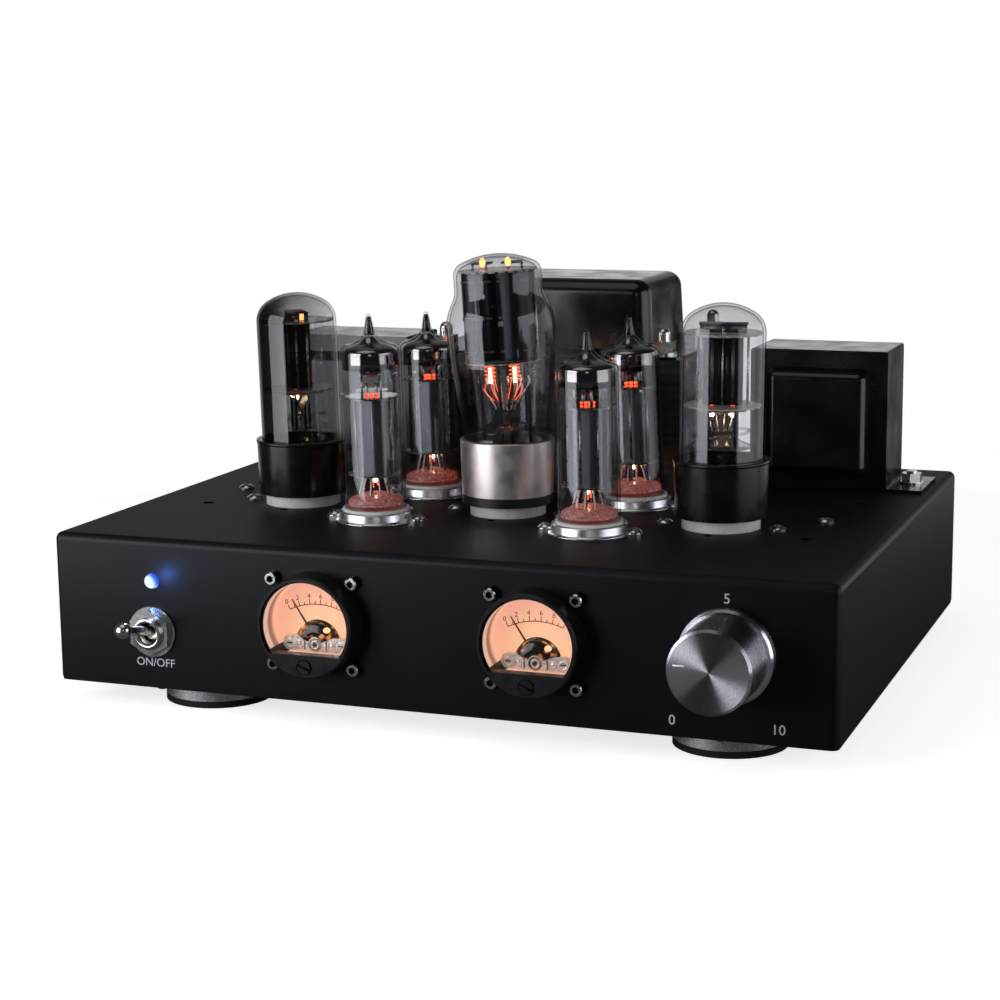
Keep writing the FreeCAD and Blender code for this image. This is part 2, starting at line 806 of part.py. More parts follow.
def rectifier_base():
    """Plastic foot with pins, and the metal sleeve that stands on its rim."""
    inner = rectifier_waist + 0.15
    outer = rectifier_base_radius + rectifier_base_flare
    soft = 0.5
    foot = turned([(0, base_bottom), (rectifier_base_radius, base_bottom),
                   (rectifier_base_radius, sleeve_low), (inner, sleeve_low),
                   (inner, base_inside), (0, base_inside)])
    sleeve = turned([(inner, sleeve_low), (rectifier_base_radius, sleeve_low),
                     (outer, rectifier_base_top - soft),
                     ((outer - 0.3 * soft, rectifier_base_top - 0.3 * soft),
                      (outer - soft, rectifier_base_top)),
                     (inner, rectifier_base_top)])
    return group([foot.fuse(octal_pins()), sleeve])


def crown_path(radius, top, knuckle, crown):
    """Half outline of a rounded bulb end: a crown arc that runs into a knuckle arc."""
    reach = radius - knuckle
    drop = math.sqrt((crown - knuckle) ** 2 - reach ** 2)
    shoulder = top - crown + drop
    turn = math.atan2(reach, drop)
    join = (crown * math.sin(turn), top - crown + crown * math.cos(turn))
    half = (crown * math.sin(turn / 2), top - crown + crown * math.cos(turn / 2))
    lean = (turn + math.pi / 2) / 2
    bulge = (reach + knuckle * math.sin(lean), shoulder + knuckle * math.cos(lean))
    return [(0, top), (half, join), (bulge, (radius, shoulder))]


def stem_path(radius, rim, wall):
    """Half outline below a bulb: it narrows inside the base and ends in a flat foot."""
    floor = base_inside + (wall + 1 if wall else -2)
    return [(radius, rim - 0.5), (stem_radius - wall, rim - 3.5), (stem_radius - wall, floor),
            (0, floor)]


def octal_glass(degrees):
    """Straight bulb with a rounded end, closed by a stem inside the base."""
    def solid(wall):
        radius = octal_glass_radius - wall
        return turned(crown_path(radius, octal_glass_top - wall, octal_knuckle - wall,
                                 octal_crown - wall) + stem_path(radius, octal_base_top, wall))
    return leaning(solid(0.0).cut(solid(glass_wall)), degrees, octal_base_top, base_inside)


def rectifier_glass(degrees):
    """Shouldered bulb: a domed cap, a waist under it, a belly that narrows to the base."""
    def solid(wall):
        cap = rectifier_cap - wall
        knee = rectifier_belly_height + rectifier_shoulder
        top = knee + rectifier_cap_length + rectifier_dome - wall
        belly = rectifier_belly - wall
        waist = rectifier_waist - wall
        middle = rectifier_belly_height
        rim = 0.8 * cap
        middle_of_crown, end = dome(rim, top - 2.8, top)
        return turned([end, (middle_of_crown, (rim, top - 2.8)),
                       ((cap - 0.9, top - 4.5), (cap, top - 7.0)), (cap, knee),
                       ((cap + 0.4, knee - 1.6), (cap + 1.4, knee - 4.0)),
                       ((belly - 0.6, middle + 6.0), (belly, middle)),
                       ((belly - 0.5, middle - 9.5), (belly - 2.3, middle - 25.0)),
                       (waist, rectifier_base_top + 1.0)]
                      + stem_path(waist, rectifier_base_top, wall))
    return leaning(solid(0.0).cut(solid(glass_wall)), degrees, rectifier_base_top, base_inside)


def noval_glass(shoulder, degrees):
    """Small bulb with a flat crown and a drawn-out tip; nine pins in its foot."""
    def solid(wall):
        radius = noval_radius - wall
        floor = noval_bottom + (wall + 1 if wall else -2)
        crown = shoulder - wall
        path = [(0, floor), (radius, floor), (radius, shoulder),
                ((radius - 0.65, crown + 2.2), (radius - 2.3, crown + 3.6)),
                ((0.4 * radius, crown + 5.2), (2.2 - 0.6 * wall, crown + 7.4))]
        if wall:
            return turned(path + [(0, crown + 7.4)])
        end = shoulder + noval_tip
        tip = 1.1
        return turned(path + [((1.5, end - 3.6), (tip, end - tip)), dome(tip, end - tip, end)])
    bulb = leaning(solid(0.0).cut(solid(glass_wall)), degrees, noval_bottom, noval_bottom)
    pins = key_and_pins(noval_pin_length, noval_circle, noval_pin, 10, 9, 108)
    return bulb.fuse([moved(pin, 0, 0, noval_bottom) for pin in pins])


def cage(bottom, low, high, disc, posts, anodes):
    """Electrodes of a tube: two mica discs with plates between them, on posts from the stem."""
    lower = rod(disc, Vector(0, 0, low - mica), Z, mica)
    upper = rod(disc, Vector(0, 0, high), Z, mica)
    legs = [rod(post, Vector(x, y, bottom), Z, low - mica - bottom) for x, y in posts]
    return group([lower, upper] + legs + anodes)


def flattened(width, depth, low, high, x=0.0, y=0.0):
    """Plate folded to a flattened tube, standing between two heights."""
    edge = 0.45 * min(width, depth)
    wall = 0.8

    def upright(inset):
        half_x = width / 2 - inset
        half_y = depth / 2 - inset
        shape = block(x - half_x, x + half_x, y - half_y, y + half_y, low, high)
        return round_edges(shape, edge - inset, lambda middle, direction: abs(direction.z) > 0.9)
    return upright(0.0).cut(upright(wall))


def driver_cage(degrees):
    """Two plates side by side, as in a double triode."""
    bottom = base_inside + glass_wall + 1
    low = 43.6
    high = 67.6
    anodes = [flattened(8.0, 13.0, low, high, s * 5.0) for s in (-1, 1)]
    shape = cage(bottom, low, high, 12.8, [(-6, 0), (0, 4), (6, 0), (0, -4)], anodes)
    return leaning(shape, degrees, octal_base_top, 0)


def rectifier_cage(degrees):
    """Two box plates of the rectifier."""
    bottom = base_inside + glass_wall + 1
    low = 56.0
    high = 87.5
    anodes = [flattened(12.0, 17.0, low, high, s * 6.5) for s in (-1, 1)]
    shape = cage(bottom, low, high, 13.5, [(-9, 0), (0, 5), (9, 0), (0, -5)], anodes)
    return leaning(shape, degrees, rectifier_base_top, 0)


def noval_cage(degrees):
    """One plate of an output tube."""
    bottom = noval_bottom + glass_wall + 1
    low = 17.0
    high = 44.0
    anodes = [flattened(13.0, 10.0, low, high)]
    shape = cage(bottom, low, high, 9.4, [(-5, 0), (0, 3.5), (5, 0), (0, -3.5)], anodes)
    return leaning(shape, degrees, noval_bottom, 0)


# Meters

def window_outline(radius, chord=meter_chord):
    """Face of a round window cut off by a chord below its middle."""
    disc = rod(radius, Vector(0, 0, 0), Z, 1.0)
    return disc.common(block(-radius, radius, -chord, radius, 0, 1))


def stretched(shape, low, high):
    """Use a flat shape of unit thickness as a cutter or plate between two depths."""
    matrix = FreeCAD.Matrix()
    matrix.scale(1, 1, high - low)
    return moved(shape.transformGeometry(matrix), 0, 0, low)


def meter_case():
    """Round case: a bezel before the panel, a cup behind it, the window's recess in front."""
    seat = meter_out - window_sheet
    floor = meter_out - dial_depth - dial_sheet
    case = turned([(0, -meter_in), (meter_body, -meter_in), (meter_body, 0),
                   (meter_radius + meter_flare, 0), (meter_radius, meter_out - 0.6),
                   (meter_radius - 0.6, meter_out), (0, meter_out)])
    opening = meter_radius - meter_wall
    recess = stretched(window_outline(opening), seat, meter_out)
    chamber = stretched(window_outline(opening - 0.8), floor, seat)
    room = stretched(window_outline(opening - 0.8, meter_floor_chord), floor, meter_shelf)
    pocket = rod(magnet_radius + gap, Vector(0, -meter_pivot, floor - magnet_length), Z,
                 magnet_length)
    pocket = pocket.common(block(-meter_body, meter_body, -meter_floor_chord, meter_body,
                                 floor - magnet_length, floor))
    screw_seat = rod(zero_screw + 0.1, Vector(0, -meter_screw_drop, meter_out - 1.5), Z, 1.5)
    return case.cut(group([recess, chamber])).cut(room).cut(pocket).cut(screw_seat)


def meter_window():
    """Flat clear window, let into the bezel."""
    opening = meter_radius - meter_wall - 0.05
    return stretched(window_outline(opening), meter_out - window_sheet, meter_out - 0.1)


def meter_dial():
    """Dial plate with a round notch for the movement."""
    low = meter_out - dial_depth - dial_sheet
    outline = window_outline(meter_radius - meter_wall - 0.9, meter_floor_chord - 0.1)
    plate = stretched(outline, low, low + dial_sheet)
    notch = rod(magnet_radius + gap, Vector(0, -meter_pivot, low), Z, dial_sheet)
    return plate.cut(notch)


def meter_movement():
    """Round magnet behind the dial, and the bridge that carries the needle's pivot."""
    low = meter_out - dial_depth - dial_sheet
    start = low - magnet_length + 0.5
    magnet = rod(magnet_radius, Vector(0, -meter_pivot, start), Z, magnet_length)
    keep = block(-magnet_radius, magnet_radius, gap - meter_floor_chord, meter_body,
                 start, low + 1)
    magnet = magnet.common(keep)
    foot = low + dial_sheet
    bridge = block(-bridge_length / 2, bridge_length / 2, -bridge_height / 2, bridge_height / 2,
                   0, bridge_sheet)
    bridge = round_edges(bridge, 2.0, lambda middle, direction: abs(direction.z) > 0.9)
    boss = collar(2.4, 0.7 + running, Vector(0, 0, bridge_sheet), Z, 0.9)
    bore = rod(0.7 + running, Vector(0, 0, 0), Z, bridge_sheet)
    pad = [rod(1.6, Vector(s * (bridge_length / 2 - 2.6), 0, -0.9), Z, 0.9) for s in (-1, 1)]
    bridge = bridge.fuse(boss).fuse(pad).cut(bore)
    bridge = moved(bridge, 0, -meter_pivot, foot + 0.9)
    return [magnet, bridge]


def meter_needle(side_sign):
    """Thin pointer on a pivot pin, turned to its rest at the low end of the dial."""
    low = meter_out - dial_depth + 0.35
    pin = rod(0.7, Vector(0, 0, 0), Z, 2.6)
    blade = prism([(-0.9, -2.0), (0.9, -2.0), (0.45, 0), (0.16, needle_length),
                   (-0.16, needle_length), (-0.45, 0)], 0.3)
    needle = moved(turned_round(pin.fuse(blade), needle_angle), 0, -meter_pivot, low)
    return on_front(needle, side_sign * meter_x, meter_z)


def both_meters(pieces):
    """The same pieces in the left and the right meter."""
    return group([on_front(piece, s * meter_x, meter_z) for s in (-1, 1) for piece in pieces])


def zero_screws():
    """Slotted screw in the lower part of each bezel."""
    screw = rod(zero_screw, Vector(0, -meter_screw_drop, meter_out - 1.5), Z, 1.9)
    slot = block(-zero_screw, zero_screw, -0.35, 0.35, 0, 0.6)
    slot = moved(turned_round(slot, -20), 0, -meter_screw_drop, meter_out - 0.2)
    return both_meters([screw.cut(slot)])


def meter_screws():
    """Socket-head screws with washers at the corners of both meters."""
    head = turned([(0, 0), (meter_screw_head, 0), (meter_screw_head, meter_screw_height - 0.3),
                   (meter_screw_head - 0.3, meter_screw_height), (0, meter_screw_height)])
    key = moved(hexagon(2.2, 1.3), 0, 0, meter_screw_height - 1.3)
    shank = rod(meter_screw_shank, Vector(0, 0, -6), Z, 6)
    screw = moved(head.cut(key).fuse(shank), 0, 0, 0.5)
    washer = collar(meter_washer, meter_screw_shank + loose, Vector(0, 0, 0), Z, 0.5)
    return group([on_front(piece, x, z) for x, z in meter_screw_places
                  for piece in (screw, washer)])


# Toggle switch

def toggle_body():
    """Switch body behind the panel, with its threaded bushing through it."""
    seat = -sheet
    bushing = turned([(toggle_ball + running, seat), (toggle_ball + running, 3.0),
                      (bushing_mouth, bushing_out), (bushing_radius, bushing_out),
                      (bushing_radius, seat)])
    half_x = toggle_body_width / 2
    half_y = toggle_body_height / 2
    body = block(-half_x, half_x, -half_y, half_y, seat - toggle_body_depth, seat)
    well = rod(toggle_ball + 1.6, Vector(0, 0, seat - 8), Z, 8)
    bearing = toggle_pin_end + gap
    pin_hole = rod(toggle_pin + running, Vector(-bearing, 0, -toggle_pivot), X, 2 * bearing)
    return on_front(body.cut(well).fuse(bushing).cut(pin_hole), toggle_x, toggle_z)


def toggle_lever():
    """Lever with a ball end on a cross pin through its root, tilted up at rest."""
    ball = Part.makeSphere(toggle_ball)
    root = 0.8 * toggle_ball
    lever = Part.makeCone(lever_root, lever_end, lever_length - root, Vector(0, 0, root))
    tip = moved(Part.makeSphere(lever_tip), 0, 0, lever_length)
    tail = rod(1.4, Vector(0, 0, -6.5), Z, 6.5)
    pin = rod(toggle_pin, Vector(-toggle_pin_end, 0, 0), X, 2 * toggle_pin_end)
    whole = turned_round(ball.fuse([lever, tip, tail, pin]), -toggle_tilt, X)
    return on_front(whole, toggle_x, toggle_z, -toggle_pivot)


def panel_nuts():
    """Washer and nut of the toggle switch, nut of the volume control."""
    washer = collar(toggle_washer, bushing_radius + 0.1, Vector(0, 0, 0), Z, washer_sheet)
    nut = hexagon(toggle_flats, toggle_nut)
    nut = nut.cut(rod(bushing_radius + 0.02, Vector(0, 0, 0), Z, toggle_nut))
    small = hexagon(pot_flats, pot_nut).cut(rod(pot_bushing + 0.02, Vector(0, 0, 0), Z, pot_nut))
    return group([on_front(washer, toggle_x, toggle_z),
                  on_front(nut, toggle_x, toggle_z, washer_sheet),
                  on_front(small, knob_x, knob_z)])


# Volume control and lamp

def potentiometer():
    """Round body behind the panel with its bushing."""
    seat = -sheet
    body = rod(pot_radius, Vector(0, 0, seat - pot_depth), Z, pot_depth)
    bushing = rod(pot_bushing, Vector(0, 0, seat), Z, pot_bushing_out + sheet)
    bore = rod(shaft_radius + running, Vector(0, 0, seat - 6), Z, 6 + sheet + pot_bushing_out)
    tags = block(-7, 7, -pot_radius - 5, -pot_radius + 3, seat - 9, seat - 7.8)
    return on_front(body.fuse([bushing, tags]).cut(bore), knob_x, knob_z)


def volume_shaft():
    """Shaft from the potentiometer into the knob."""
    return on_front(rod(shaft_radius, Vector(0, 0, -sheet - 5.9), Z, shaft_length + sheet + 5.9),
                    knob_x, knob_z)


def volume_knob():
    """Turned knob with a flange, hollow at the back for the nut."""
    low = knob_lift
    high = knob_lift + knob_length
    flange = low + knob_flange_height
    soft = 0.7
    knob = turned([(shaft_radius + 0.02, low + knob_hollow_depth),
                   (knob_hollow, low + knob_hollow_depth), (knob_hollow, low),
                   (knob_flange - 0.5, low), (knob_flange, low + 0.5),
                   (knob_flange, flange - 0.8), (knob_flange - 0.8, flange),
                   (knob_waist, flange), (knob_radius + 0.2, high - soft),
                   (knob_radius - soft, high), (0, high), (0, shaft_length),
                   (shaft_radius + 0.02, shaft_length)])
    return on_front(knob, knob_x, knob_z)


def indicator_lamp():
    """Domed lamp pushed through the panel, its collar behind."""
    rim = lamp_out - 0.8 * lamp_radius
    lens = turned([(0, -lamp_in), (lamp_collar, -lamp_in), (lamp_collar, -sheet),
                   (lamp_radius, -sheet), (lamp_radius, rim), dome(lamp_radius, rim, lamp_out)])
    return on_front(lens, lamp_x, lamp_z)


# Back panel

def mains_inlet():
    """Three-pin inlet: flange with ears, open shroud, flat pins."""
    flange = block(-inlet_ear - 5, inlet_ear + 5, -inlet_height / 2, inlet_height / 2,
                   0, inlet_flange)
    flange = round_edges(flange, 5.0, lambda middle, direction: abs(direction.z) > 0.9)
    body = block(-inlet_shroud_width / 2, inlet_shroud_width / 2,
                 -inlet_shroud_height / 2, inlet_shroud_height / 2,
                 inlet_flange - inlet_depth, inlet_flange)
    half_x = inlet_shroud_width / 2 - inlet_wall
    half_z = inlet_shroud_height / 2 - inlet_wall
    cut = 4.0
    depth = inlet_depth - 2.5
    cavity = prism([(-half_x, half_z), (-half_x, cut - half_z), (cut - half_x, -half_z),
                    (half_x - cut, -half_z), (half_x, cut - half_z), (half_x, half_z)], depth)
    cavity = moved(cavity, 0, 0, inlet_flange - depth)
    holes = [rod(m3_shank + loose, Vector(s * inlet_ear, 0, 0), Z, inlet_flange) for s in (-1, 1)]
    pins = [block(x - 1, x + 1, y - 2, y + 2, inlet_flange - depth - 1,
                  inlet_flange - depth + inlet_pin_length)
            for x, y in ((-inlet_pin_pitch, 2.0), (0.0, -2.5), (inlet_pin_pitch, 2.0))]
    shape = flange.fuse(body).cut(group([cavity] + holes)).fuse(pins)
    return on_back(shape, inlet_x, connector_z)


def speaker_posts():
    """Metal core of each binding post, with a bore for a plug in its end."""
    core = rod(post_metal, Vector(0, 0, -12), Z, 12 + post_length)
    bore = rod(post_bore, Vector(0, 0, post_length - 18), Z, 18)
    return group([on_back(core.cut(bore), x, connector_z) for x in post_places])


def post_caps(places):
    """Insulating collar on the panel and fluted cap of the binding posts."""
    foot = collar(post_collar, post_metal + 0.05, Vector(0, 0, 0), Z, post_collar_length)
    start = post_length - 0.9 - post_cap_length
    cap = collar(post_cap, post_metal + 0.05, Vector(0, 0, start), Z, post_cap_length)
    flutes = [rod(0.9, Vector(x, y, start + 2), Z, post_cap_length)
              for x, y in circle_places(post_cap + 0.35, 8, 8)]
    cap = cap.cut(group(flutes))
    return group([on_back(piece, x, connector_z) for x in places for piece in (foot, cap)])


def input_jacks():
    """Pin jacks: outer sleeve with a hexagon on the panel and a nut behind it."""
    pieces = []
    for x in jack_places:
        sleeve = rod(jack_radius, Vector(0, 0, -9), Z, 9 + jack_length)
        sleeve = sleeve.fuse(hexagon(jack_flats, 2.0))
        sleeve = sleeve.cut(rod(jack_bore, Vector(0, 0, jack_length - 9), Z, 9))
        nut = hexagon(jack_flats, 2.0).cut(rod(jack_radius + 0.02, Vector(0, 0, 0), Z, 2.0))
        pieces += [on_back(sleeve, x, connector_z), on_back(nut, x, connector_z, -sheet - 2.0)]
    return group(pieces)


# Inside

def circuit_board():
    """Board under the sockets, hung from the deck by swaged standoffs."""
    board = block(-board_width / 2, board_width / 2, front + board_front, front + board_back,
                  board_top - board_sheet, board_top)
    for x, y in [(s * board_screw_x, y) for s in (-1, 1) for y in board_screw_y]:
        board = board.fuse(rod(standoff_radius, Vector(x, front + y, board_top), Z,
                               ceiling - board_top))
    holes = [on_deck(screw_hole(m3_shank, -sheet, 7.5), x, y)
             for x, y in deck_screw_places[6:]]
    return board.cut(group(holes))


def filter_capacitors():
    """Cans hanging under the board."""
    soft = 1.0
    can = turned([(0, 0), (capacitor_radius, 0), (capacitor_radius, soft - capacitor_length),
                  (capacitor_radius - soft, -capacitor_length), (0, -capacitor_length)])
    return group([moved(can, x, front + y, board_top - board_sheet) for x, y in capacitor_places])


def build():
    """All nodes by name."""
    nodes = {
        "chassis_shell": chassis_shell(),
        "bottom_plate": bottom_plate(),
        "bottom_plate_screws": plate_screws(),
        "foot_bodies": at_feet(foot_body()),
        "foot_pads": at_feet(foot_pad()),
        "foot_screws": at_feet(foot_screw()),
        "power_transformer_core": power_core(),
        "power_transformer_bell": power_bell(),
        "power_transformer_bolts": power_bolts(),
        "output_transformer_left_core": output_core(output_left),
        "output_transformer_right_core": output_core(output_right),
        "output_transformer_straps": group([strap(output_left), strap(output_right)]),
        "output_transformer_covers": output_covers(),
        "output_transformer_screws": output_screws(),
        "transformer_coils": group([
            on_deck(winding(*power_coil, power_stack, power_leg, power_coil_rise), 0, power_y),
            output_winding(output_left), output_winding(output_right)]),
        "octal_sockets": group([on_deck(octal_socket(), x, y) for x, y in octal_places]),
        "octal_socket_plates": group([on_deck(socket_plate_with_ears(), x, y)
                                      for x, y in octal_places]),
        "noval_sockets": group([on_deck(noval_socket(), x, y) for x, y in noval_places]),
        "noval_saddle_rings": group([on_deck(saddle_ring(), x, y) for x, y in noval_places]),
        "deck_screws": deck_screws(),
        "meter_left_case": on_front(meter_case(), -meter_x, meter_z),
        "meter_right_case": on_front(meter_case(), meter_x, meter_z),
        "meter_windows": both_meters([meter_window()]),
        "meter_dials": both_meters([meter_dial()]),
        "meter_movements": both_meters(meter_movement()),
        "meter_left_needle": meter_needle(-1),
        "meter_right_needle": meter_needle(1),
        "meter_zero_screws": zero_screws(),
        "meter_screws": meter_screws(),
        "toggle_switch_body": toggle_body(),
        "toggle_lever": toggle_lever(),
        "panel_nuts": panel_nuts(),
        "potentiometer_body": potentiometer(),
        "volume_shaft": volume_shaft(),
        "volume_knob": volume_knob(),
        "indicator_lamp": indicator_lamp(),
        "mains_inlet": mains_inlet(),
        "speaker_posts": speaker_posts(),
        "speaker_post_caps_black": post_caps(post_places[::2]),
        "speaker_post_caps_red": post_caps(post_places[1::2]),
        "input_jacks": input_jacks(),
        "circuit_board": circuit_board(),
        "filter_capacitors": filter_capacitors(),
    }
    octal_names = ("driver_tube_left", "rectifier_tube", "driver_tube_right")
    for name, (x, y), lean in zip(octal_names, octal_places, octal_leans):
        pieces = ((rectifier_base(), rectifier_glass(lean), rectifier_cage(lean))
                  if name == "rectifier_tube"
                  else (octal_base(), octal_glass(lean), driver_cage(lean)))
        for piece, shape in zip(("base", "glass", "electrodes"), pieces):
            nodes["%s_%s" % (name, piece)] = on_deck(shape, x, y)
    noval_names = ("front_left", "front_right", "back_left", "back_right")
    for name, (x, y), shoulder, lean in zip(noval_names, noval_places,
                                            noval_shoulders, noval_leans):
        nodes["output_tube_%s_glass" % name] = on_deck(noval_glass(shoulder, lean), x, y)
        nodes["output_tube_%s_electrodes" % name] = on_deck(noval_cage(lean), x, y)
    return nodes


os.makedirs("parts", exist_ok=True)
for node, shape in build().items():
    shape.exportStep("parts/%s.step" % node)
    print("%-36s solids %2d  volume %9.1f mm3" % (node, len(shape.Solids), shape.Volume))
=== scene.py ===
"""Looks of a tube integrated amplifier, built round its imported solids, one cell at a time."""
# %% [markdown]
# ## The fixed frame
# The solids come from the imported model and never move. Everything below either gives them a
# finish or adds the small things that solids leave out: what is inside the tubes, the printed
# figures, the marks on the dials. Three solids came out wrong and are replaced: the electrodes
# of the two straight tubes and the body of the switch. Lengths are written in millimetres and
# turned into metres, because that is how such an amplifier is measured.

# %% Start
import math

import bmesh
import bpy
import numpy as np
from mathutils import Matrix, Vector


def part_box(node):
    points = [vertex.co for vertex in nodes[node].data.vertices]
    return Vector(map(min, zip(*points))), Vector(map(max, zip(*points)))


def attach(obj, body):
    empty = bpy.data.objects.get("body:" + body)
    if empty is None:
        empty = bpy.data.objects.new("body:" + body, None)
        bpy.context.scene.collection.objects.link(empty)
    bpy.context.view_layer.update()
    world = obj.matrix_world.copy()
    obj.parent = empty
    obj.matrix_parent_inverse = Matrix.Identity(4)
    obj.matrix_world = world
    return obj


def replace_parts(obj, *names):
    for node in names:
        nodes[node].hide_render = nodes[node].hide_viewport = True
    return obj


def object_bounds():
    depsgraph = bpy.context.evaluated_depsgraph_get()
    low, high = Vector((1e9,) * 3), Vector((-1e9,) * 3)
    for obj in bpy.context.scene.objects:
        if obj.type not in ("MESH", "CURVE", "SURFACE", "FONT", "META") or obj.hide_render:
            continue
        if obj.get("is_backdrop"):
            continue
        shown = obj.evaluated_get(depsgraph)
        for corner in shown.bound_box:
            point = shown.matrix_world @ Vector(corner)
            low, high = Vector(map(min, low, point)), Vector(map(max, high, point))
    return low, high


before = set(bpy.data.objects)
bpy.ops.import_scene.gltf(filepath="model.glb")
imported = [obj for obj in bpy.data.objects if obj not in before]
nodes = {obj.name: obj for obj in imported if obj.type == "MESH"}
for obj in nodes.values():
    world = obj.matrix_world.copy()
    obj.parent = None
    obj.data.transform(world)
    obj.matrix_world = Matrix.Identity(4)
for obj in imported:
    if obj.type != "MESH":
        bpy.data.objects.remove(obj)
solid_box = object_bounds()
MM = 0.001
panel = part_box("chassis_shell")[0].y / MM       # the front panel's face
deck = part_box("chassis_shell")[1].z / MM        # the chassis' top face
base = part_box("chassis_shell")[0].z / MM        # the chassis' lower edge
print("nodes", len(nodes), "panel", round(panel, 1), "deck", round(deck, 1))

# %% [markdown]
# ## Camera
# The photograph was taken from the front, right of the middle and a little above the tubes.
# The place and the angles were worked out from the rims of the sockets, the edges of the
# chassis and the meters, so the render and the photograph can be laid over each other.

# %% Camera


def added(name, data):
    """New object, linked into the scene."""
    thing = bpy.data.objects.new(name, data)
    bpy.context.collection.objects.link(thing)
    return thing


yaw, pitch, roll = 0.36, 0.184, -0.011          # radians
camera_place = (0.2777, -0.7721, 0.2139)        # metres
focal_length, film_width = 80.17, 36.0          # millimetres
forward = Vector((-math.sin(yaw) * math.cos(pitch), math.cos(yaw) * math.cos(pitch), -math.sin(pitch)))
right = Vector((math.cos(yaw), math.sin(yaw), 0))
up = right.cross(forward)
across = right * math.cos(roll) + up * math.sin(roll)
upward = up * math.cos(roll) - right * math.sin(roll)
camera = added("camera", bpy.data.cameras.new("camera"))
camera.data.lens, camera.data.sensor_width = focal_length, film_width
camera.matrix_world = Matrix((across, upward, -forward)).transposed().to_4x4()
camera.location = camera_place
bpy.context.scene.camera = camera
bpy.context.scene.view_settings.view_transform = "Standard"
print("camera at", tuple(round(v, 3) for v in camera.location))

# %% [markdown]
# ## Node helpers
# Every finish is a small tree of nodes round one Principled shader. A helper adds a node and
# sets its sockets by name, so that a finish reads like a list of what it is made of. The
# patterns use Object coordinates: they are fixed to the piece and as large as on the real one.

# %% Helpers for materials


def add_node(tree, kind, **values):
    """Add a node; each value is a setting, an input's default, or a socket to link from."""
    node = tree.nodes.new("ShaderNode" + kind)
    for key, value in values.items():
        name = key.replace("_", " ")
        if hasattr(node, key):
            setattr(node, key, value)
            continue
        slot = node.inputs[name] if name in node.inputs else node.inputs[int(key[1:])]
        if isinstance(value, bpy.types.NodeSocket):
            tree.links.new(value, slot)
        else:
            slot.default_value = value
    return node


def socket(material, name):
    """One of the sockets of a finish's Principled shader."""
    return material.node_tree.nodes["Principled BSDF"].inputs[name]


def feed(material, name, source):
    """Link a source into one of those sockets."""
    material.node_tree.links.new(source, socket(material, name))


def colour_of(material):
    """The source of the colour that a finish has so far."""
    return socket(material, "Base Color").links[0].from_socket


def calc(tree, operation, *values):
    """One step of arithmetic on numbers."""
    inputs = {"_" + str(i): value for i, value in enumerate(values)}
    return add_node(tree, "Math", operation=operation, **inputs).outputs["Value"]


def vector_calc(tree, operation, first, second=(0, 0, 0), result="Vector"):
    """One step of arithmetic on vectors; a distance or a dot product comes out as Value."""
    return add_node(tree, "VectorMath", operation=operation, _0=first, _1=second).outputs[result]


def mixed(tree, share, first, second, blend="MIX"):
    """Colour between the first and the second, by the share of the second."""
    node = add_node(tree, "Mix", data_type="RGBA", blend_type=blend, _0=share, _6=first, _7=second)
    return node.outputs[2]


def object_point(tree):
    """The point of the surface in Object coordinates, in metres."""
    return add_node(tree, "TexCoord").outputs["Object"]


def object_axes(tree):
    """X, Y and Z of that point."""
    return add_node(tree, "SeparateXYZ", Vector=object_point(tree)).outputs


def coordinates(tree, scale):
    """That point, stretched."""
    return add_node(tree, "Mapping", Vector=object_point(tree), Scale=scale).outputs["Vector"]


def levelness(tree, low=0.75, high=0.85):
    """1 on level faces, 0 on upright ones."""
    normal = add_node(tree, "NewGeometry").outputs["Normal"]
    level = add_node(tree, "SeparateXYZ", Vector=normal).outputs["Z"]
    return spread(tree, calc(tree, "ABSOLUTE", level), 0.0, 1.0, low, high)


def noise(tree, scale, detail=3.0, stretch=(1, 1, 1)):
    """Noise in features per metre."""
    return add_node(tree, "TexNoise", Vector=coordinates(tree, stretch), Scale=scale,
                    Detail=detail, Roughness=0.5).outputs["Fac"]


def ramp(tree, source, *stops):
    """Colour ramp over (place, colour) stops."""
    node = add_node(tree, "ValToRGB", Fac=source)
    elements = node.color_ramp.elements
    while len(elements) < len(stops):
        elements.new(0.5)
    for element, (place, colour) in zip(elements, stops):
        element.position = place
        element.color = (*colour, 1) if not isinstance(colour, float) else (colour,) * 3 + (1,)
    return node.outputs["Color"]


def spread(tree, source, low, high, start=0.3, end=0.7):
    """A value that runs from low to high as the source runs from start to end."""
    node = add_node(tree, "MapRange", Value=source)
    for name, value in zip(("From Min", "From Max", "To Min", "To Max"), (start, end, low, high)):
        node.inputs[name].default_value = value
    return node.outputs["Result"]


def finish(name, colour, rough=0.5, metal=0.0, mottle=0.12, mottle_scale=300.0, grain=0.0,
           grain_scale=2500.0, rough_spread=0.08, stretch=(1, 1, 1), **sockets):
    """Principled finish: colour and roughness drift a little, grain is a fine bump."""
    material = bpy.data.materials.new(name)
    material.use_nodes = True
    tree = material.node_tree
    shader = tree.nodes["Principled BSDF"]
    soft = noise(tree, mottle_scale, 4.0, stretch)
    dark = tuple(c * (1 - mottle) for c in colour)
    light = tuple(min(1.0, c * (1 + mottle)) for c in colour)
    tree.links.new(ramp(tree, soft, (0.3, dark), (0.7, light)), shader.inputs["Base Color"])
    tree.links.new(spread(tree, soft, max(0.02, rough - rough_spread), rough + rough_spread),
                   shader.inputs["Roughness"])
    shader.inputs["Metallic"].default_value = metal
    if grain:
        bump = add_node(tree, "Bump", Height=noise(tree, grain_scale, 2.0, stretch),
                        Strength=grain, Distance=0.0001)
        tree.links.new(bump.outputs["Normal"], shader.inputs["Normal"])
    for key, value in sockets.items():
        shader.inputs[key.replace("_", " ")].default_value = value
    return material


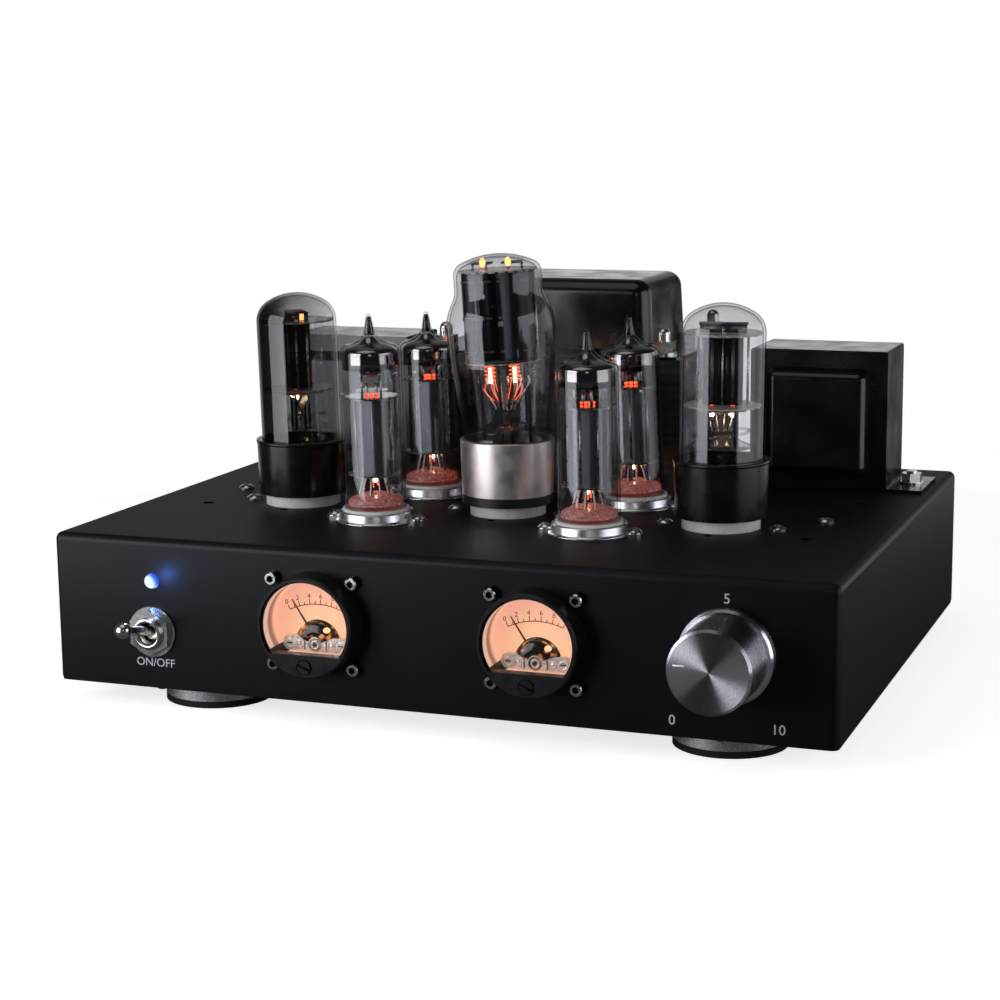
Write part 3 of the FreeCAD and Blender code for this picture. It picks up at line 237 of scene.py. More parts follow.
def dress(material, *names):
    """Give CAD nodes a finish."""
    for name in names:
        data = nodes[name].data
        data.materials.clear()
        data.materials.append(material)


print("helpers for materials are ready")

# %% [markdown]
# ## World, lights and floor
# Such a product is photographed on a white sweep between soft boxes in a dark room. The world
# is that room: rays that look for the background find white, mirrored ones find it only low
# down behind the amplifier on the left, and the rest find a dim grey that fills the shadows.
# The left box is the strong one, so the front panel falls from dark grey to black along its
# length. The boxes at the sides give the glass its upright bands.

# %% World


def white_world(fill):
    """White for rays that see the background, a dim fill for the light that it sheds."""
    world = bpy.data.worlds.new("studio")
    bpy.context.scene.world = world
    world.use_nodes = True
    tree = world.node_tree
    tree.nodes.clear()
    path = add_node(tree, "LightPath").outputs
    direction = add_node(tree, "TexCoord").outputs["Generated"]
    axes = add_node(tree, "SeparateXYZ", Vector=direction).outputs
    behind = spread(tree, axes["Y"], 0.0, 1.0, 0.3, 0.85)
    on_the_left = spread(tree, axes["X"], 1.0, 0.06, -0.02, 0.1)
    low_down = spread(tree, axes["Z"], 1.0, 0.15, 0.06, 0.35)
    mirrored = path["Is Glossy Ray"]
    for limit in (behind, on_the_left, low_down):
        mirrored = calc(tree, "MULTIPLY", mirrored, limit)
    seen = calc(tree, "MAXIMUM", path["Is Camera Ray"], path["Is Transmission Ray"])
    seen = calc(tree, "MAXIMUM", seen, mirrored)
    white = add_node(tree, "Background", Color=(1, 1, 1, 1), Strength=1.0)
    level = spread(tree, path["Is Glossy Ray"], fill, 0.3 * fill, 0.0, 1.0)
    dim = add_node(tree, "Background", Color=(0.9, 0.95, 1, 1), Strength=level)
    mix = add_node(tree, "MixShader", _0=seen, _1=dim.outputs[0], _2=white.outputs[0])
    add_node(tree, "OutputWorld", Surface=mix.outputs[0])


white_world(0.1)
print("world set")

# %% Lights
AIM = Vector((0, 0, 0.09))      # every soft box faces this point over the chassis
cool = (0.91, 0.93, 1.0)


def soft_box(name, azimuth, distance, height, size, power, colour):
    """Area lamp at an azimuth counted from the front towards the right."""
    light = bpy.data.lights.new(name, "AREA")
    light.shape, light.size, light.size_y = "RECTANGLE", *size
    light.energy, light.color = power, colour
    thing = added(name, light)
    angle = math.radians(azimuth)
    thing.location = (distance * math.sin(angle), -distance * math.cos(angle), height)
    heading = AIM - thing.location
    thing.rotation_euler = heading.to_track_quat("-Z", "Y").to_euler()


soft_box("left_box", -41, 0.77, 0.12, (0.62, 0.75), 6.0, cool)
soft_box("right_box", 82, 0.80, 0.12, (0.70, 0.75), 3.0, cool)
soft_box("rear_box", 130, 0.95, 0.12, (0.90, 0.60), 1.6, (0.91, 0.92, 1.0))
soft_box("top_box", -30, 0.35, 1.1, (0.8, 0.8), 1.4, (1.0, 0.98, 0.95))
soft_box("front_box", 20, 1.0, 0.34, (0.2, 0.2), 0.2, (1.0, 0.97, 0.94))
print("soft boxes", len(bpy.data.lights))

# %% Floor


def floor_disc(radius):
    """Flat disc of paper under the amplifier: pale, with a little light of its own where it
    is looked at, so that it runs into the white world without an edge. Metal mirrors it as the
    dim studio floor round the sweep."""
    mesh = bpy.data.meshes.new("floor")
    angles = np.linspace(0, 2 * np.pi, 96, endpoint=False)
    points = np.stack([radius * np.cos(angles), radius * np.sin(angles), 0 * angles], 1)
    mesh.from_pydata(points.tolist(), [], [list(range(len(angles)))])
    material = bpy.data.materials.new("white_paper")
    material.use_nodes = True
    tree = material.node_tree
    tree.nodes.clear()
    path = add_node(tree, "LightPath").outputs
    seen = calc(tree, "MAXIMUM", path["Is Camera Ray"], path["Is Transmission Ray"])
    shade = spread(tree, path["Is Glossy Ray"], 0.8, 0.16, 0.0, 1.0)
    paper = add_node(tree, "BsdfDiffuse", Color=ramp(tree, shade, (0.0, 0.0), (1.0, 1.0)))
    glow = add_node(tree, "Emission", Color=(1, 1, 1, 1), Strength=0.75)
    both = add_node(tree, "AddShader", _0=paper.outputs[0], _1=glow.outputs[0])
    mix = add_node(tree, "MixShader", _0=seen, _1=paper.outputs[0], _2=both.outputs[0])
    add_node(tree, "OutputMaterial", Surface=mix.outputs[0])
    mesh.materials.append(material)
    added("floor", mesh)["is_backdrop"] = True


floor_disc(0.42)
print("floor set")

# %% [markdown]
# ## Finishes of the solids
# The chassis has a fine matt powder coat, the transformers a smoother black lacquer that
# mirrors the white background at a glancing angle, the cores show the edges of their sheets.
# One finish is written for each real material and given to every solid made of it.

# %% Paint, metal, plastic
powder = finish("black_powder_coat", (0.003, 0.003, 0.0034), 0.36, mottle=0.15, mottle_scale=60.0,
                grain=0.15, grain_scale=2200.0, Specular_IOR_Level=0.2)
lacquer = finish("black_lacquer", (0.004, 0.004, 0.004), 0.2, mottle=0.2, mottle_scale=80.0,
                 grain=0.06, grain_scale=900.0)
plated = finish("plated_steel", (0.66, 0.64, 0.6), 0.2, 1.0, mottle=0.07, grain=0.03, rough_spread=0.04)
ring_plating = finish("ring_plating", (0.7, 0.7, 0.71), 0.3, 1.0, mottle=0.06, grain=0.04)
chrome = finish("chrome", (0.82, 0.82, 0.83), 0.1, 1.0, mottle=0.06, rough_spread=0.05)
sleeve_metal = finish("sleeve_metal", (0.8, 0.73, 0.7), 0.4, 1.0, mottle=0.04, grain=0.12,
                      grain_scale=1800.0)
ceramic = finish("glazed_ceramic", (0.72, 0.71, 0.67), 0.3, mottle=0.06, grain=0.1)
bakelite = finish("black_bakelite", (0.005, 0.005, 0.005), 0.24, mottle=0.3, mottle_scale=150.0,
                  Specular_IOR_Level=0.3)
black_plastic = finish("black_plastic", (0.008, 0.008, 0.008), 0.36, grain=0.1,
                       Specular_IOR_Level=0.3)
red_plastic = finish("red_plastic", (0.5, 0.02, 0.02), 0.35, grain=0.05)
rubber = finish("foot_rubber", (0.012, 0.012, 0.013), 0.6, grain=0.2, Specular_IOR_Level=0.2)
foot_silver = finish("foot_silver", (0.62, 0.62, 0.62), 0.42, 1.0, mottle=0.3,
                     mottle_scale=1500.0, grain=0.4, grain_scale=2500.0)
tape = finish("winding_tape", (0.5, 0.33, 0.07), 0.4, grain=0.1)
board_green = finish("board_green", (0.02, 0.11, 0.05), 0.35, grain=0.1)
can_sleeve = finish("capacitor_sleeve", (0.01, 0.02, 0.06), 0.3)
needle_black = finish("needle_black", (0.12, 0.04, 0.015), 0.5)
movement_metal = finish("movement_metal", (0.72, 0.68, 0.64), 0.22, 1.0, grain=0.2)

dress(powder, "chassis_shell", "bottom_plate")
tree = powder.node_tree
feed(powder, "Roughness", spread(tree, levelness(tree, 0.3, 0.9), 0.36, 0.55, 0.0, 1.0))
dress(lacquer, "power_transformer_bell", "output_transformer_covers", "output_transformer_straps")
dress(plated, "bottom_plate_screws", "foot_screws", "power_transformer_bolts", "deck_screws",
      "output_transformer_screws", "octal_socket_plates", "toggle_switch_body", "toggle_lever",
      "panel_nuts", "potentiometer_body", "volume_shaft", "input_jacks", "speaker_posts")
dress(chrome, "noval_saddle_rings")
dress(ceramic, "octal_sockets", "noval_sockets")
dress(bakelite, "driver_tube_left_base", "driver_tube_right_base")
dress(black_plastic, "meter_left_case", "meter_right_case", "mains_inlet", "meter_zero_screws",
      "speaker_post_caps_black")
dress(red_plastic, "speaker_post_caps_red")
dress(rubber, "foot_pads")
dress(foot_silver, "foot_bodies")
dress(tape, "transformer_coils")
dress(board_green, "circuit_board")
dress(can_sleeve, "filter_capacitors")
dress(needle_black, "meter_left_needle", "meter_right_needle")
dress(movement_metal, "meter_movements")
tubes = [n[:-len("_glass")] for n in nodes if n.endswith("_glass")]
print("plain finishes given")

# %% Finishes with two tones


def two_part(name, upper, lower, height):
    """One finish above a height in metres and another below it, for a node made of two parts."""
    material = upper.copy()
    material.name = name
    tree = material.node_tree
    above = calc(tree, "GREATER_THAN", object_axes(tree)["Z"], height)
    feed(material, "Base Color", mixed(tree, above, lower, colour_of(material)))
    feed(material, "Metallic", above)
    return material


def socket_metal(name, face):
    """Bright ring on a screw's face, with painted shade in its socket and down its side."""
    material = finish(name, (0.8, 0.79, 0.77), 0.16, 1.0, mottle=0.05, grain=0.02)
    tree = material.node_tree
    # painted shade: behind the face the colour turns near black, for the shade in the socket and down the
    # side
    below = spread(tree, object_axes(tree)["Y"], 0.0, 1.0, (face + 0.25) * MM, (face + 0.6) * MM)
    feed(material, "Base Color", mixed(tree, below, colour_of(material), (0.03, 0.03, 0.03, 1)))
    return material


sleeve_foot = deck + 7.6        # where the rectifier's sleeve ends above its black foot
dress(two_part("sleeve_and_foot", sleeve_metal, (0.006, 0.006, 0.006, 1), sleeve_foot * MM),
      "rectifier_tube_base")
dress(socket_metal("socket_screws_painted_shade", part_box("meter_screws")[0].y / MM), "meter_screws")
print("two-tone finishes given")

# %% Sheets of the cores
LINE_SCALE = 100.0      # a wave texture's lines are 0.314 m / scale apart, so here 3.1 mm


def sheet_edges(name, axis):
    """Lacquered stack: lines across one axis stand for the edges of the sheets."""
    material = finish(name, (0.01, 0.01, 0.01), 0.35, mottle=0.3)
    tree = material.node_tree
    stretch = [0.0, 0.0, 0.0]
    stretch[axis] = 1.0
    lines = add_node(tree, "TexWave", Vector=coordinates(tree, stretch), Scale=LINE_SCALE,
                     Distortion=0.6, bands_direction="XYZ"[axis])
    bump = add_node(tree, "Bump", Height=lines.outputs["Fac"], Strength=0.5, Distance=0.0002)
    feed(material, "Normal", bump.outputs["Normal"])
    return material


dress(sheet_edges("sheets_lying", 2), "power_transformer_core")
dress(sheet_edges("sheets_upright", 1), "output_transformer_left_core", "output_transformer_right_core")
print("cores finished")

# %% [markdown]
# ## Plates and discs inside the tubes
# A tube's solid holds upright blackened plates between level mica discs. They are one node, so
# one finish has to serve both: where the surface lies level it is mica, elsewhere metal.

# %% Plates and discs


def electrode_metal(name, colour, rough):
    """Blackened plate on upright faces, paler mica on level ones."""
    material = finish(name, colour, rough, 0.7, mottle=0.3, mottle_scale=250.0, grain=0.25,
                      grain_scale=900.0, stretch=(1, 1, 0.08))
    tree = material.node_tree
    flat = levelness(tree)
    mica = ramp(tree, noise(tree, 700.0, 4.0), (0.3, (0.12, 0.11, 0.1)), (0.7, (0.34, 0.32, 0.3)))
    feed(material, "Base Color", mixed(tree, flat, colour_of(material), mica))
    feed(material, "Metallic", spread(tree, flat, 0.7, 0.0, 0.0, 1.0))
    return material


dark_anode = electrode_metal("dark_anode", (0.022, 0.022, 0.026), 0.32)
grey_anode = electrode_metal("grey_anode", (0.13, 0.13, 0.14), 0.27)
for tube in tubes:
    dress(grey_anode if tube.startswith("output") else dark_anode, tube + "_electrodes")
print("electrodes finished in", len(tubes), "tubes")

# %% [markdown]
# ## Glass
# A bulb is a thin wall with air on both sides, so it bends the light very little. A clear
# wall can then be a transparent shader mixed with a mirror one, which renders faster than true
# refraction and keeps what is inside the tube sharp. The bulb's edge is dark, because the eye
# looks along the wall there, and the left driver tube has a dark film down one side.

# %% Glass


def clear_glass(name, tint, gloss=1.0, film=None):
    """Thin clear wall: what is behind shows through, and it mirrors more at a glancing angle.
    A film is given by the tube's axis and the side it darkens: q = (p - axis) . side / radius."""
    material = bpy.data.materials.new(name)
    material.use_nodes = True
    tree = material.node_tree
    tree.nodes.clear()
    facing = add_node(tree, "LayerWeight", Blend=0.5).outputs["Facing"]
    share = spread(tree, calc(tree, "POWER", facing, 4.0), 0.03 * gloss, 0.4 * gloss, 0.0, 1.0)
    colour = ramp(tree, facing, (0.0, tint), (0.72, tint), (0.88, tuple(0.5 * c for c in tint)),
                  (1.0, tuple(0.08 * c for c in tint)))
    if film:
        axis, side, radius = film
        away = vector_calc(tree, "SUBTRACT", object_point(tree), (*axis, 0))
        q = vector_calc(tree, "DOT_PRODUCT", away, (*side, 0), "Value")
        smoke = ramp(tree, spread(tree, q, 0.0, 1.0, -radius, radius), (0.0, 1.0), (0.3, 0.85),
                     (0.62, 0.7), (0.82, 0.4), (1.0, 0.25))
        colour = mixed(tree, 1.0, colour, smoke, "MULTIPLY")
    through = add_node(tree, "BsdfTransparent", Color=colour)
    mirror = add_node(tree, "BsdfGlossy", Color=(1, 1, 1, 1), Roughness=0.03)
    mix = add_node(tree, "MixShader", _0=share, _1=through.outputs[0], _2=mirror.outputs[0])
    add_node(tree, "OutputMaterial", Surface=mix.outputs[0])
    return material


tube_glass = clear_glass("tube_glass", (0.86, 0.865, 0.875))
dress(tube_glass, *[t + "_glass" for t in tubes])
left_tube_axis = (-80.6 * MM, (panel + 79.5) * MM)
dark_side = (-0.9, -0.434)
smoky_glass = clear_glass("smoky_glass", (0.9, 0.9, 0.91), 1.2, (left_tube_axis, dark_side, 15.2 * MM))
dress(smoky_glass, "driver_tube_left_glass")
dress(clear_glass("window_clear", (0.98, 0.97, 0.96), 0.5), "meter_windows")
print("glass given")

# %% [markdown]
# ## Knob
# The knob is turned from a bar, so its face carries fine rings round its middle. Such rings
# stretch a reflection along the radius: two soft boxes become two bright wedges. Anisotropy
# with a tangent that runs round the knob's axis does this for the face and the side alike. The
# two sectors between the wedges also get painted shade, a darker colour, because the
# reflection alone came out too weak. That painted shade belongs to the knob and turns with it.

# %% Turned aluminium


def middle_of(node):
    """Middle of a node's box, in metres."""
    return (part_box(node)[0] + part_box(node)[1]) / 2


def turned_metal(name, node, colour):
    """Aluminium with rings round a node's Y axis, and painted shade between the reflected wedges.
    With u the upright part of the unit vector from the middle, the colour falls to 0.3 of itself
    as the square of u rises to 0.78."""
    material = finish(name, colour, 0.27, 1.0, mottle=0.03, rough_spread=0.01, Anisotropic=0.9,
                      Anisotropic_Rotation=0.25)
    tree = material.node_tree
    feed(material, "Tangent", add_node(tree, "Tangent", direction_type="RADIAL", axis="Y").outputs[0])
    away = vector_calc(tree, "SUBTRACT", object_point(tree), tuple(middle_of(node)))
    unit = vector_calc(tree, "NORMALIZE", vector_calc(tree, "MULTIPLY", away, (1, 0, 1)))
    upright = vector_calc(tree, "DOT_PRODUCT", unit, (0.2, 0, 0.98), "Value")
    square = calc(tree, "POWER", upright, 2.0)
    # painted shade: the colour darkens in the sectors above and below the middle, between the wedges
    feed(material, "Base Color", ramp(tree, square, (0.5, colour), (0.78, tuple(0.3 * c for c in colour))))
    return material


dress(turned_metal("turned_aluminium", "volume_knob", (0.86, 0.87, 0.91)), "volume_knob")
print("knob turned")

# %% [markdown]
# ## Light sources
# The lamp's lens, the dials and the heaters shine by themselves. They are drawn as emission,
# whose colour changes over the surface, because a lens is white only where the light stands
# behind it and a dial is brightest near its bulb. The lamp also has a weak blue point light,
# which tints the metal of the switch below it.

# %% Light sources


def glowing(name, colour, strength, base_colour=(0.02, 0.02, 0.02)):
    """Surface with light of its own, stronger in some spots."""
    material = finish(name, base_colour, 0.5)
    tree = material.node_tree
    hot = ramp(tree, noise(tree, 500.0, 2.0), (0.3, tuple(0.8 * c for c in colour)), (0.7, colour))
    feed(material, "Emission Color", hot)
    socket(material, "Emission Strength").default_value = strength
    return material


def lamp_lens(name, x, z):
    """Blue lens: white where the light inside stands behind it, deep blue round that."""
    material = finish(name, (0.02, 0.05, 0.2), 0.15)
    tree = material.node_tree
    flat = vector_calc(tree, "MULTIPLY", object_point(tree), (1, 0, 1))
    away = vector_calc(tree, "DISTANCE", flat, (x * MM, 0, z * MM), "Value")
    feed(material, "Emission Color",
         ramp(tree, spread(tree, away, 0.0, 1.0, 0.0, 5 * MM), (0.42, (0.8, 0.93, 1.0)),
              (0.52, (0.25, 0.5, 1.0)), (0.62, (0.03, 0.1, 0.85)), (1.0, (0.01, 0.04, 0.45))))
    socket(material, "Emission Strength").default_value = 1.15
    return material


lamp_middle = middle_of("indicator_lamp") / MM
dress(lamp_lens("blue_lamp", lamp_middle.x - 0.7, lamp_middle.z - 0.5), "indicator_lamp")
blue_light = bpy.data.lights.new("lamp_light", "POINT")
blue_light.energy, blue_light.color, blue_light.shadow_soft_size = 0.009, (0.1, 0.25, 1.0), 0.002
added("lamp_light", blue_light).location = Vector((lamp_middle.x, panel - 11.0, lamp_middle.z)) * MM
print("lamp lit")

# %% Lit dials
METER_X, METER_Z = 39.6, base + 27.0    # the middle of a meter, left or right of the panel's


def dial_light(name):
    """Paper lit from behind: yellow and bright low in the middle, pink towards the rim."""
    material = glowing(name, (0.98, 0.47, 0.29), 0.88, (0.3, 0.2, 0.15))
    tree = material.node_tree
    axes = object_axes(tree)
    place = add_node(tree, "CombineXYZ", X=calc(tree, "ABSOLUTE", axes["X"]), Z=axes["Z"]).outputs[0]
    away = vector_calc(tree, "DISTANCE", place, (METER_X * MM, 0, (METER_Z - 5.0) * MM), "Value")
    feed(material, "Emission Color",
         ramp(tree, spread(tree, away, 0.0, 1.0, 0.0, 21 * MM), (0.2, (1.0, 0.62, 0.34)),
              (0.55, (0.98, 0.5, 0.31)), (1.0, (0.8, 0.36, 0.31))))
    return material


dial_paper = dial_light("dial_paper")
dress(dial_paper, "meter_dials")
print("all solids dressed:", sum(bool(o.data.materials) for o in nodes.values()))

# %% [markdown]
# ## Small surfaces
# The small pieces are written as surfaces in numbers: a turned piece is an outline carried
# round an axis, a wire is a ring carried along a curve, a bar is a wire along a line. Each
# function returns points in millimetres and faces, so pieces can be gathered into one object
# and set down in the place of the tube or the dial that they belong to.

# %% Surface helpers


def carried(path, radius, sides=8):
    """Round wire: at each point p of the path a ring p + r (cos a * u + sin a * v)."""
    path = np.asarray(path, float)
    along = np.gradient(path, axis=0)
    along /= np.linalg.norm(along, axis=1)[:, None]
    guide = np.array([0.31, 0.87, 0.38]) if abs(along[:, 1]).max() < 0.9 else np.array([1.0, 0.1, 0.2])
    u = np.cross(along, guide)
    u /= np.linalg.norm(u, axis=1)[:, None]
    v = np.cross(along, u)
    angles = np.linspace(0, 2 * np.pi, sides, endpoint=False)
    radius = np.broadcast_to(np.asarray(radius, float), len(path))[:, None, None]
    ring = np.cos(angles)[None, :, None] * u[:, None] + np.sin(angles)[None, :, None] * v[:, None]
    points = (path[:, None] + radius * ring).reshape(-1, 3)
    return points, tube_faces(len(path), sides)


def tube_faces(rings, sides):
    """Quads between neighbouring rings, and a cap at each end."""
    i, j = np.meshgrid(np.arange(rings - 1), np.arange(sides), indexing="ij")
    a, b = i * sides + j, i * sides + (j + 1) % sides
    quads = np.stack([a, b, b + sides, a + sides], -1).reshape(-1, 4).tolist()
    return quads + [list(range(sides))[::-1], [(rings - 1) * sides + k for k in range(sides)]]


def turned(outline, sides=48):
    """Outline of (radius, height) carried round the upright axis."""
    outline = np.asarray(outline, float)
    angles = np.linspace(0, 2 * np.pi, sides, endpoint=False)
    r, h = outline[:, 0][:, None], outline[:, 1][:, None]
    points = np.stack([r * np.cos(angles), r * np.sin(angles), h + 0 * angles], -1)
    return points.reshape(-1, 3), tube_faces(len(outline), sides)


def hollow(outline, sides):
    """Closed outline of (radius, height) carried round the axis: a ring with a hole through it,
    so that faces between the last and the first circle take the place of the two caps."""
    points, faces = turned(outline, sides)
    last = (len(outline) - 1) * sides
    return points, faces[:-2] + [[k, (k + 1) % sides, last + (k + 1) % sides, last + k]
                                 for k in range(sides)]


def slab(low, high):
    """Box between two corners."""
    x, y, z = zip(low, high)
    points = np.array([(x[i], y[j], z[k]) for i in (0, 1) for j in (0, 1) for k in (0, 1)], float)
    return points, [[0, 1, 3, 2], [4, 6, 7, 5], [0, 4, 5, 1], [2, 3, 7, 6], [0, 2, 6, 4], [1, 5, 7, 3]]


def bar(start, end, radius, sides=8):
    """Straight round bar."""
    return carried([start, (np.array(start) + np.array(end)) / 2, end], radius, sides)


def bent(points, steps=10):
    """Smooth curve through points, for wires: cubic pieces with averaged slopes."""
    points = np.asarray(points, float)
    slope = np.gradient(points, axis=0)
    t = np.linspace(0, 1, steps, endpoint=False)[:, None]
    curve = [(2 * t**3 - 3 * t**2 + 1) * a + (t**3 - 2 * t**2 + t) * m
             + (3 * t**2 - 2 * t**3) * b + (t**3 - t**2) * n
             for a, b, m, n in zip(points, points[1:], slope, slope[1:])]
    return np.vstack(curve + [points[-1:]])


def spring(radius, low, high, turns, wire, x=0.0, y=0.0):
    """Helix of round wire about an upright line."""
    t = np.linspace(0, 1, int(turns * 14))
    a = 2 * np.pi * turns * t
    path = np.stack([x + radius * np.cos(a), y + radius * np.sin(a), low + (high - low) * t], 1)
    return carried(path, wire, 6)


def ball(centre, radius, squash=1.0):
    """Small round bead."""
    a = np.linspace(0.08, np.pi - 0.08, 9)
    points, faces = turned(np.stack([radius * np.sin(a), -squash * radius * np.cos(a)], 1), 16)
    return points + np.array(centre), faces


def shifted(part, x=0.0, y=0.0, z=0.0):
    """The same surface elsewhere."""
    return part[0] + np.array([x, y, z]), part[1]


def spun(part, degrees):
    """The same surface turned about the upright axis."""
    c, s = math.cos(math.radians(degrees)), math.sin(math.radians(degrees))
    x, y, z = part[0].T
    return np.stack([c * x - s * y, s * x + c * y, z], 1), part[1]


def spun_front(part, degrees):
    """The same surface turned about the Y axis."""
    c, s = math.cos(math.radians(degrees)), math.sin(math.radians(degrees))
    x, y, z = part[0].T
    return np.stack([c * x + s * z, y, c * z - s * x], 1), part[1]


def moved_to(x, y, z):
    """Place function that only shifts the points."""
    return lambda points: points + np.array([x, y, z])


def piece(name, body, material, parts, place):
    """One object from several surfaces, set in its place and riding on a body of the model."""
    points = np.concatenate([p for p, _ in parts])
    starts = np.cumsum([0] + [len(p) for p, _ in parts])
    faces = [[i + start for i in face] for (_, f), start in zip(parts, starts) for face in f]
    height = points[:, 2]
    along = (height - height.min()) / max(1e-6, height.max() - height.min())
    mesh = bpy.data.meshes.new(name)
    mesh.from_pydata((place(points) * MM).tolist(), [], faces)
    mesh.attributes.new("along", "FLOAT", "POINT").data.foreach_set("value", along)
    solid = bmesh.new()
    solid.from_mesh(mesh)
    bmesh.ops.recalc_face_normals(solid, faces=solid.faces)
    solid.to_mesh(mesh)
    solid.free()
    mesh.polygons.foreach_set("use_smooth", np.array([len(f) == 4 for f in faces]))
    mesh.materials.append(material)
    thing = added(name, mesh)
    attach(thing, body)
    return thing


print("surface helpers are ready")

# %% [markdown]
# ## Places of the tubes
# A tube's inside is drawn upright about its own axis, with heights counted from the deck. The
# bulbs in the photograph lean a little, so a place turns the points about the height where the
# lean starts, then carries them to the socket.

# %% Places of the tubes

LEFT, MIDDLE, RIGHT = "driver_tube_left", "rectifier_tube", "driver_tube_right"
FRONT_LEFT, FRONT_RIGHT = "output_tube_front_left", "output_tube_front_right"
BACK_LEFT, BACK_RIGHT = "output_tube_back_left", "output_tube_back_right"
sockets = {LEFT: (-80.6, 79.5, 1.3, 24.3), MIDDLE: (0.0, 82.6, 3.0, 27.4), RIGHT: (80.6, 79.5, -0.6, 24.3),
           FRONT_LEFT: (-40.2, 55.1, 1.2, 4.9), FRONT_RIGHT: (40.2, 55.1, 0.8, 4.9),
           BACK_LEFT: (-40.2, 108.5, 1.4, 4.9), BACK_RIGHT: (40.2, 108.5, 2.2, 4.9)}
shoulders = {FRONT_LEFT: 59.6, FRONT_RIGHT: 56.4, BACK_LEFT: 55.2, BACK_RIGHT: 55.7}


def in_tube(tube, spin=0.0):
    """Place function: x' = x cos a - h sin a for a lean a to the left, h above its start."""
    x0, y0, lean, start = sockets[tube]
    c, s = math.cos(math.radians(lean)), math.sin(math.radians(lean))

    def place(points):
        x, y, z = spun((points, None), spin)[0].T
        h = z - start
        return np.stack([x0 + x * c - h * s, panel + y0 + y, deck + start + h * c + x * s], 1)
    return place


print("places for", len(sockets), "tubes")

# %% [markdown]
# ## Finishes inside the tubes
# Nickel wire, crinkled mica, the silvery flash that the getter leaves inside a dome, and the
# heaters. The flash is a mirror that turns brown and thin at its edge, so its colour follows
# the height within the piece, which every piece carries as a value of its own.

# %% Inside finishes
nickel = finish("nickel_wire", (0.55, 0.53, 0.5), 0.3, 1.0, mottle=0.2, mottle_scale=900.0)
dull_nickel = finish("dull_nickel", (0.16, 0.15, 0.15), 0.4, 0.9, mottle=0.3, mottle_scale=700.0,
                     grain=0.3)
mica_sheet = finish("mica_sheet", (0.55, 0.5, 0.44), 0.22, 0.0, mottle=0.35, mottle_scale=1200.0,
                    grain=0.5)
tip_glass = finish("tip_glass", (0.012, 0.01, 0.01), 0.12, 0.0, mottle=0.5, mottle_scale=1500.0,
                   grain=0.6)
button_glass = finish("button_glass", (0.5, 0.3, 0.28), 0.08, 0.0, mottle=0.6, mottle_scale=900.0,
                      grain=1.0, grain_scale=1200.0, Emission_Strength=0.9)
# painted light: the button glows faintly, with red and orange spots for the heaters' glints in the glass
painted_glints = ramp(button_glass.node_tree, noise(button_glass.node_tree, 1500.0, 2.0),
              (0.5, (0.06, 0.01, 0.006)), (0.62, (0.35, 0.03, 0.015)), (0.7, (1.0, 0.16, 0.05)))
feed(button_glass, "Emission Color", painted_glints)
red_heat = glowing("red_heat", (1.0, 0.1, 0.03), 3.0)
# painted light: the getters' glints of the heaters' glow, drawn as orange emission
orange_painted_glint = glowing("orange_painted_glint", (1.0, 0.3, 0.08), 6.0)
white_heat = glowing("white_heat", (1.0, 0.72, 0.45), 22.0)
stem_glass = clear_glass("stem_glass", (0.9, 0.89, 0.88), 1.6)
clear_mica = clear_glass("clear_mica", (0.78, 0.75, 0.72), 3.0)


def getter_flash(name):
    """Mirror film: dark brown along its lower edge, bright silver above."""
    material = finish(name, (0.6, 0.6, 0.6), 0.07, 1.0, rough_spread=0.03)
    tree = material.node_tree
    along = add_node(tree, "Attribute", attribute_name="along").outputs["Fac"]
    wavy = calc(tree, "ADD", along, spread(tree, noise(tree, 250.0), -0.08, 0.08))
    feed(material, "Base Color",
         ramp(tree, wavy, (0.0, (0.1, 0.08, 0.07)), (0.2, (0.42, 0.37, 0.34)),
              (0.6, (0.36, 0.33, 0.3)), (1.0, (0.6, 0.55, 0.5))))
    return material


flash = getter_flash("getter_flash")
print("finishes for the insides are ready")

# %% [markdown]
# ## Output tubes
# Each small tube shows, from below: the pinkish glass button with its nine wires, a glowing
# heater end, a spacer disc, the grey anode with its bright welded seam, the upper spacer, the
# little cage of grid posts that carries the getter, and the mirror film inside the dome.

# %% Output tubes


def spacer(radius, low, thick, teeth):
    """Mica disc whose rim is cut to teeth that touch the glass: r = R - d for every other tooth."""
    angles = np.linspace(0, 2 * np.pi, 4 * teeth, endpoint=False)
    rim = radius - 0.9 * (np.arange(4 * teeth) % 4 >= 2)
    ring = np.stack([rim * np.cos(angles), rim * np.sin(angles), 0 * angles + low], 1)
    return np.vstack([ring, ring + np.array([0, 0, thick])]), tube_faces(2, 4 * teeth)


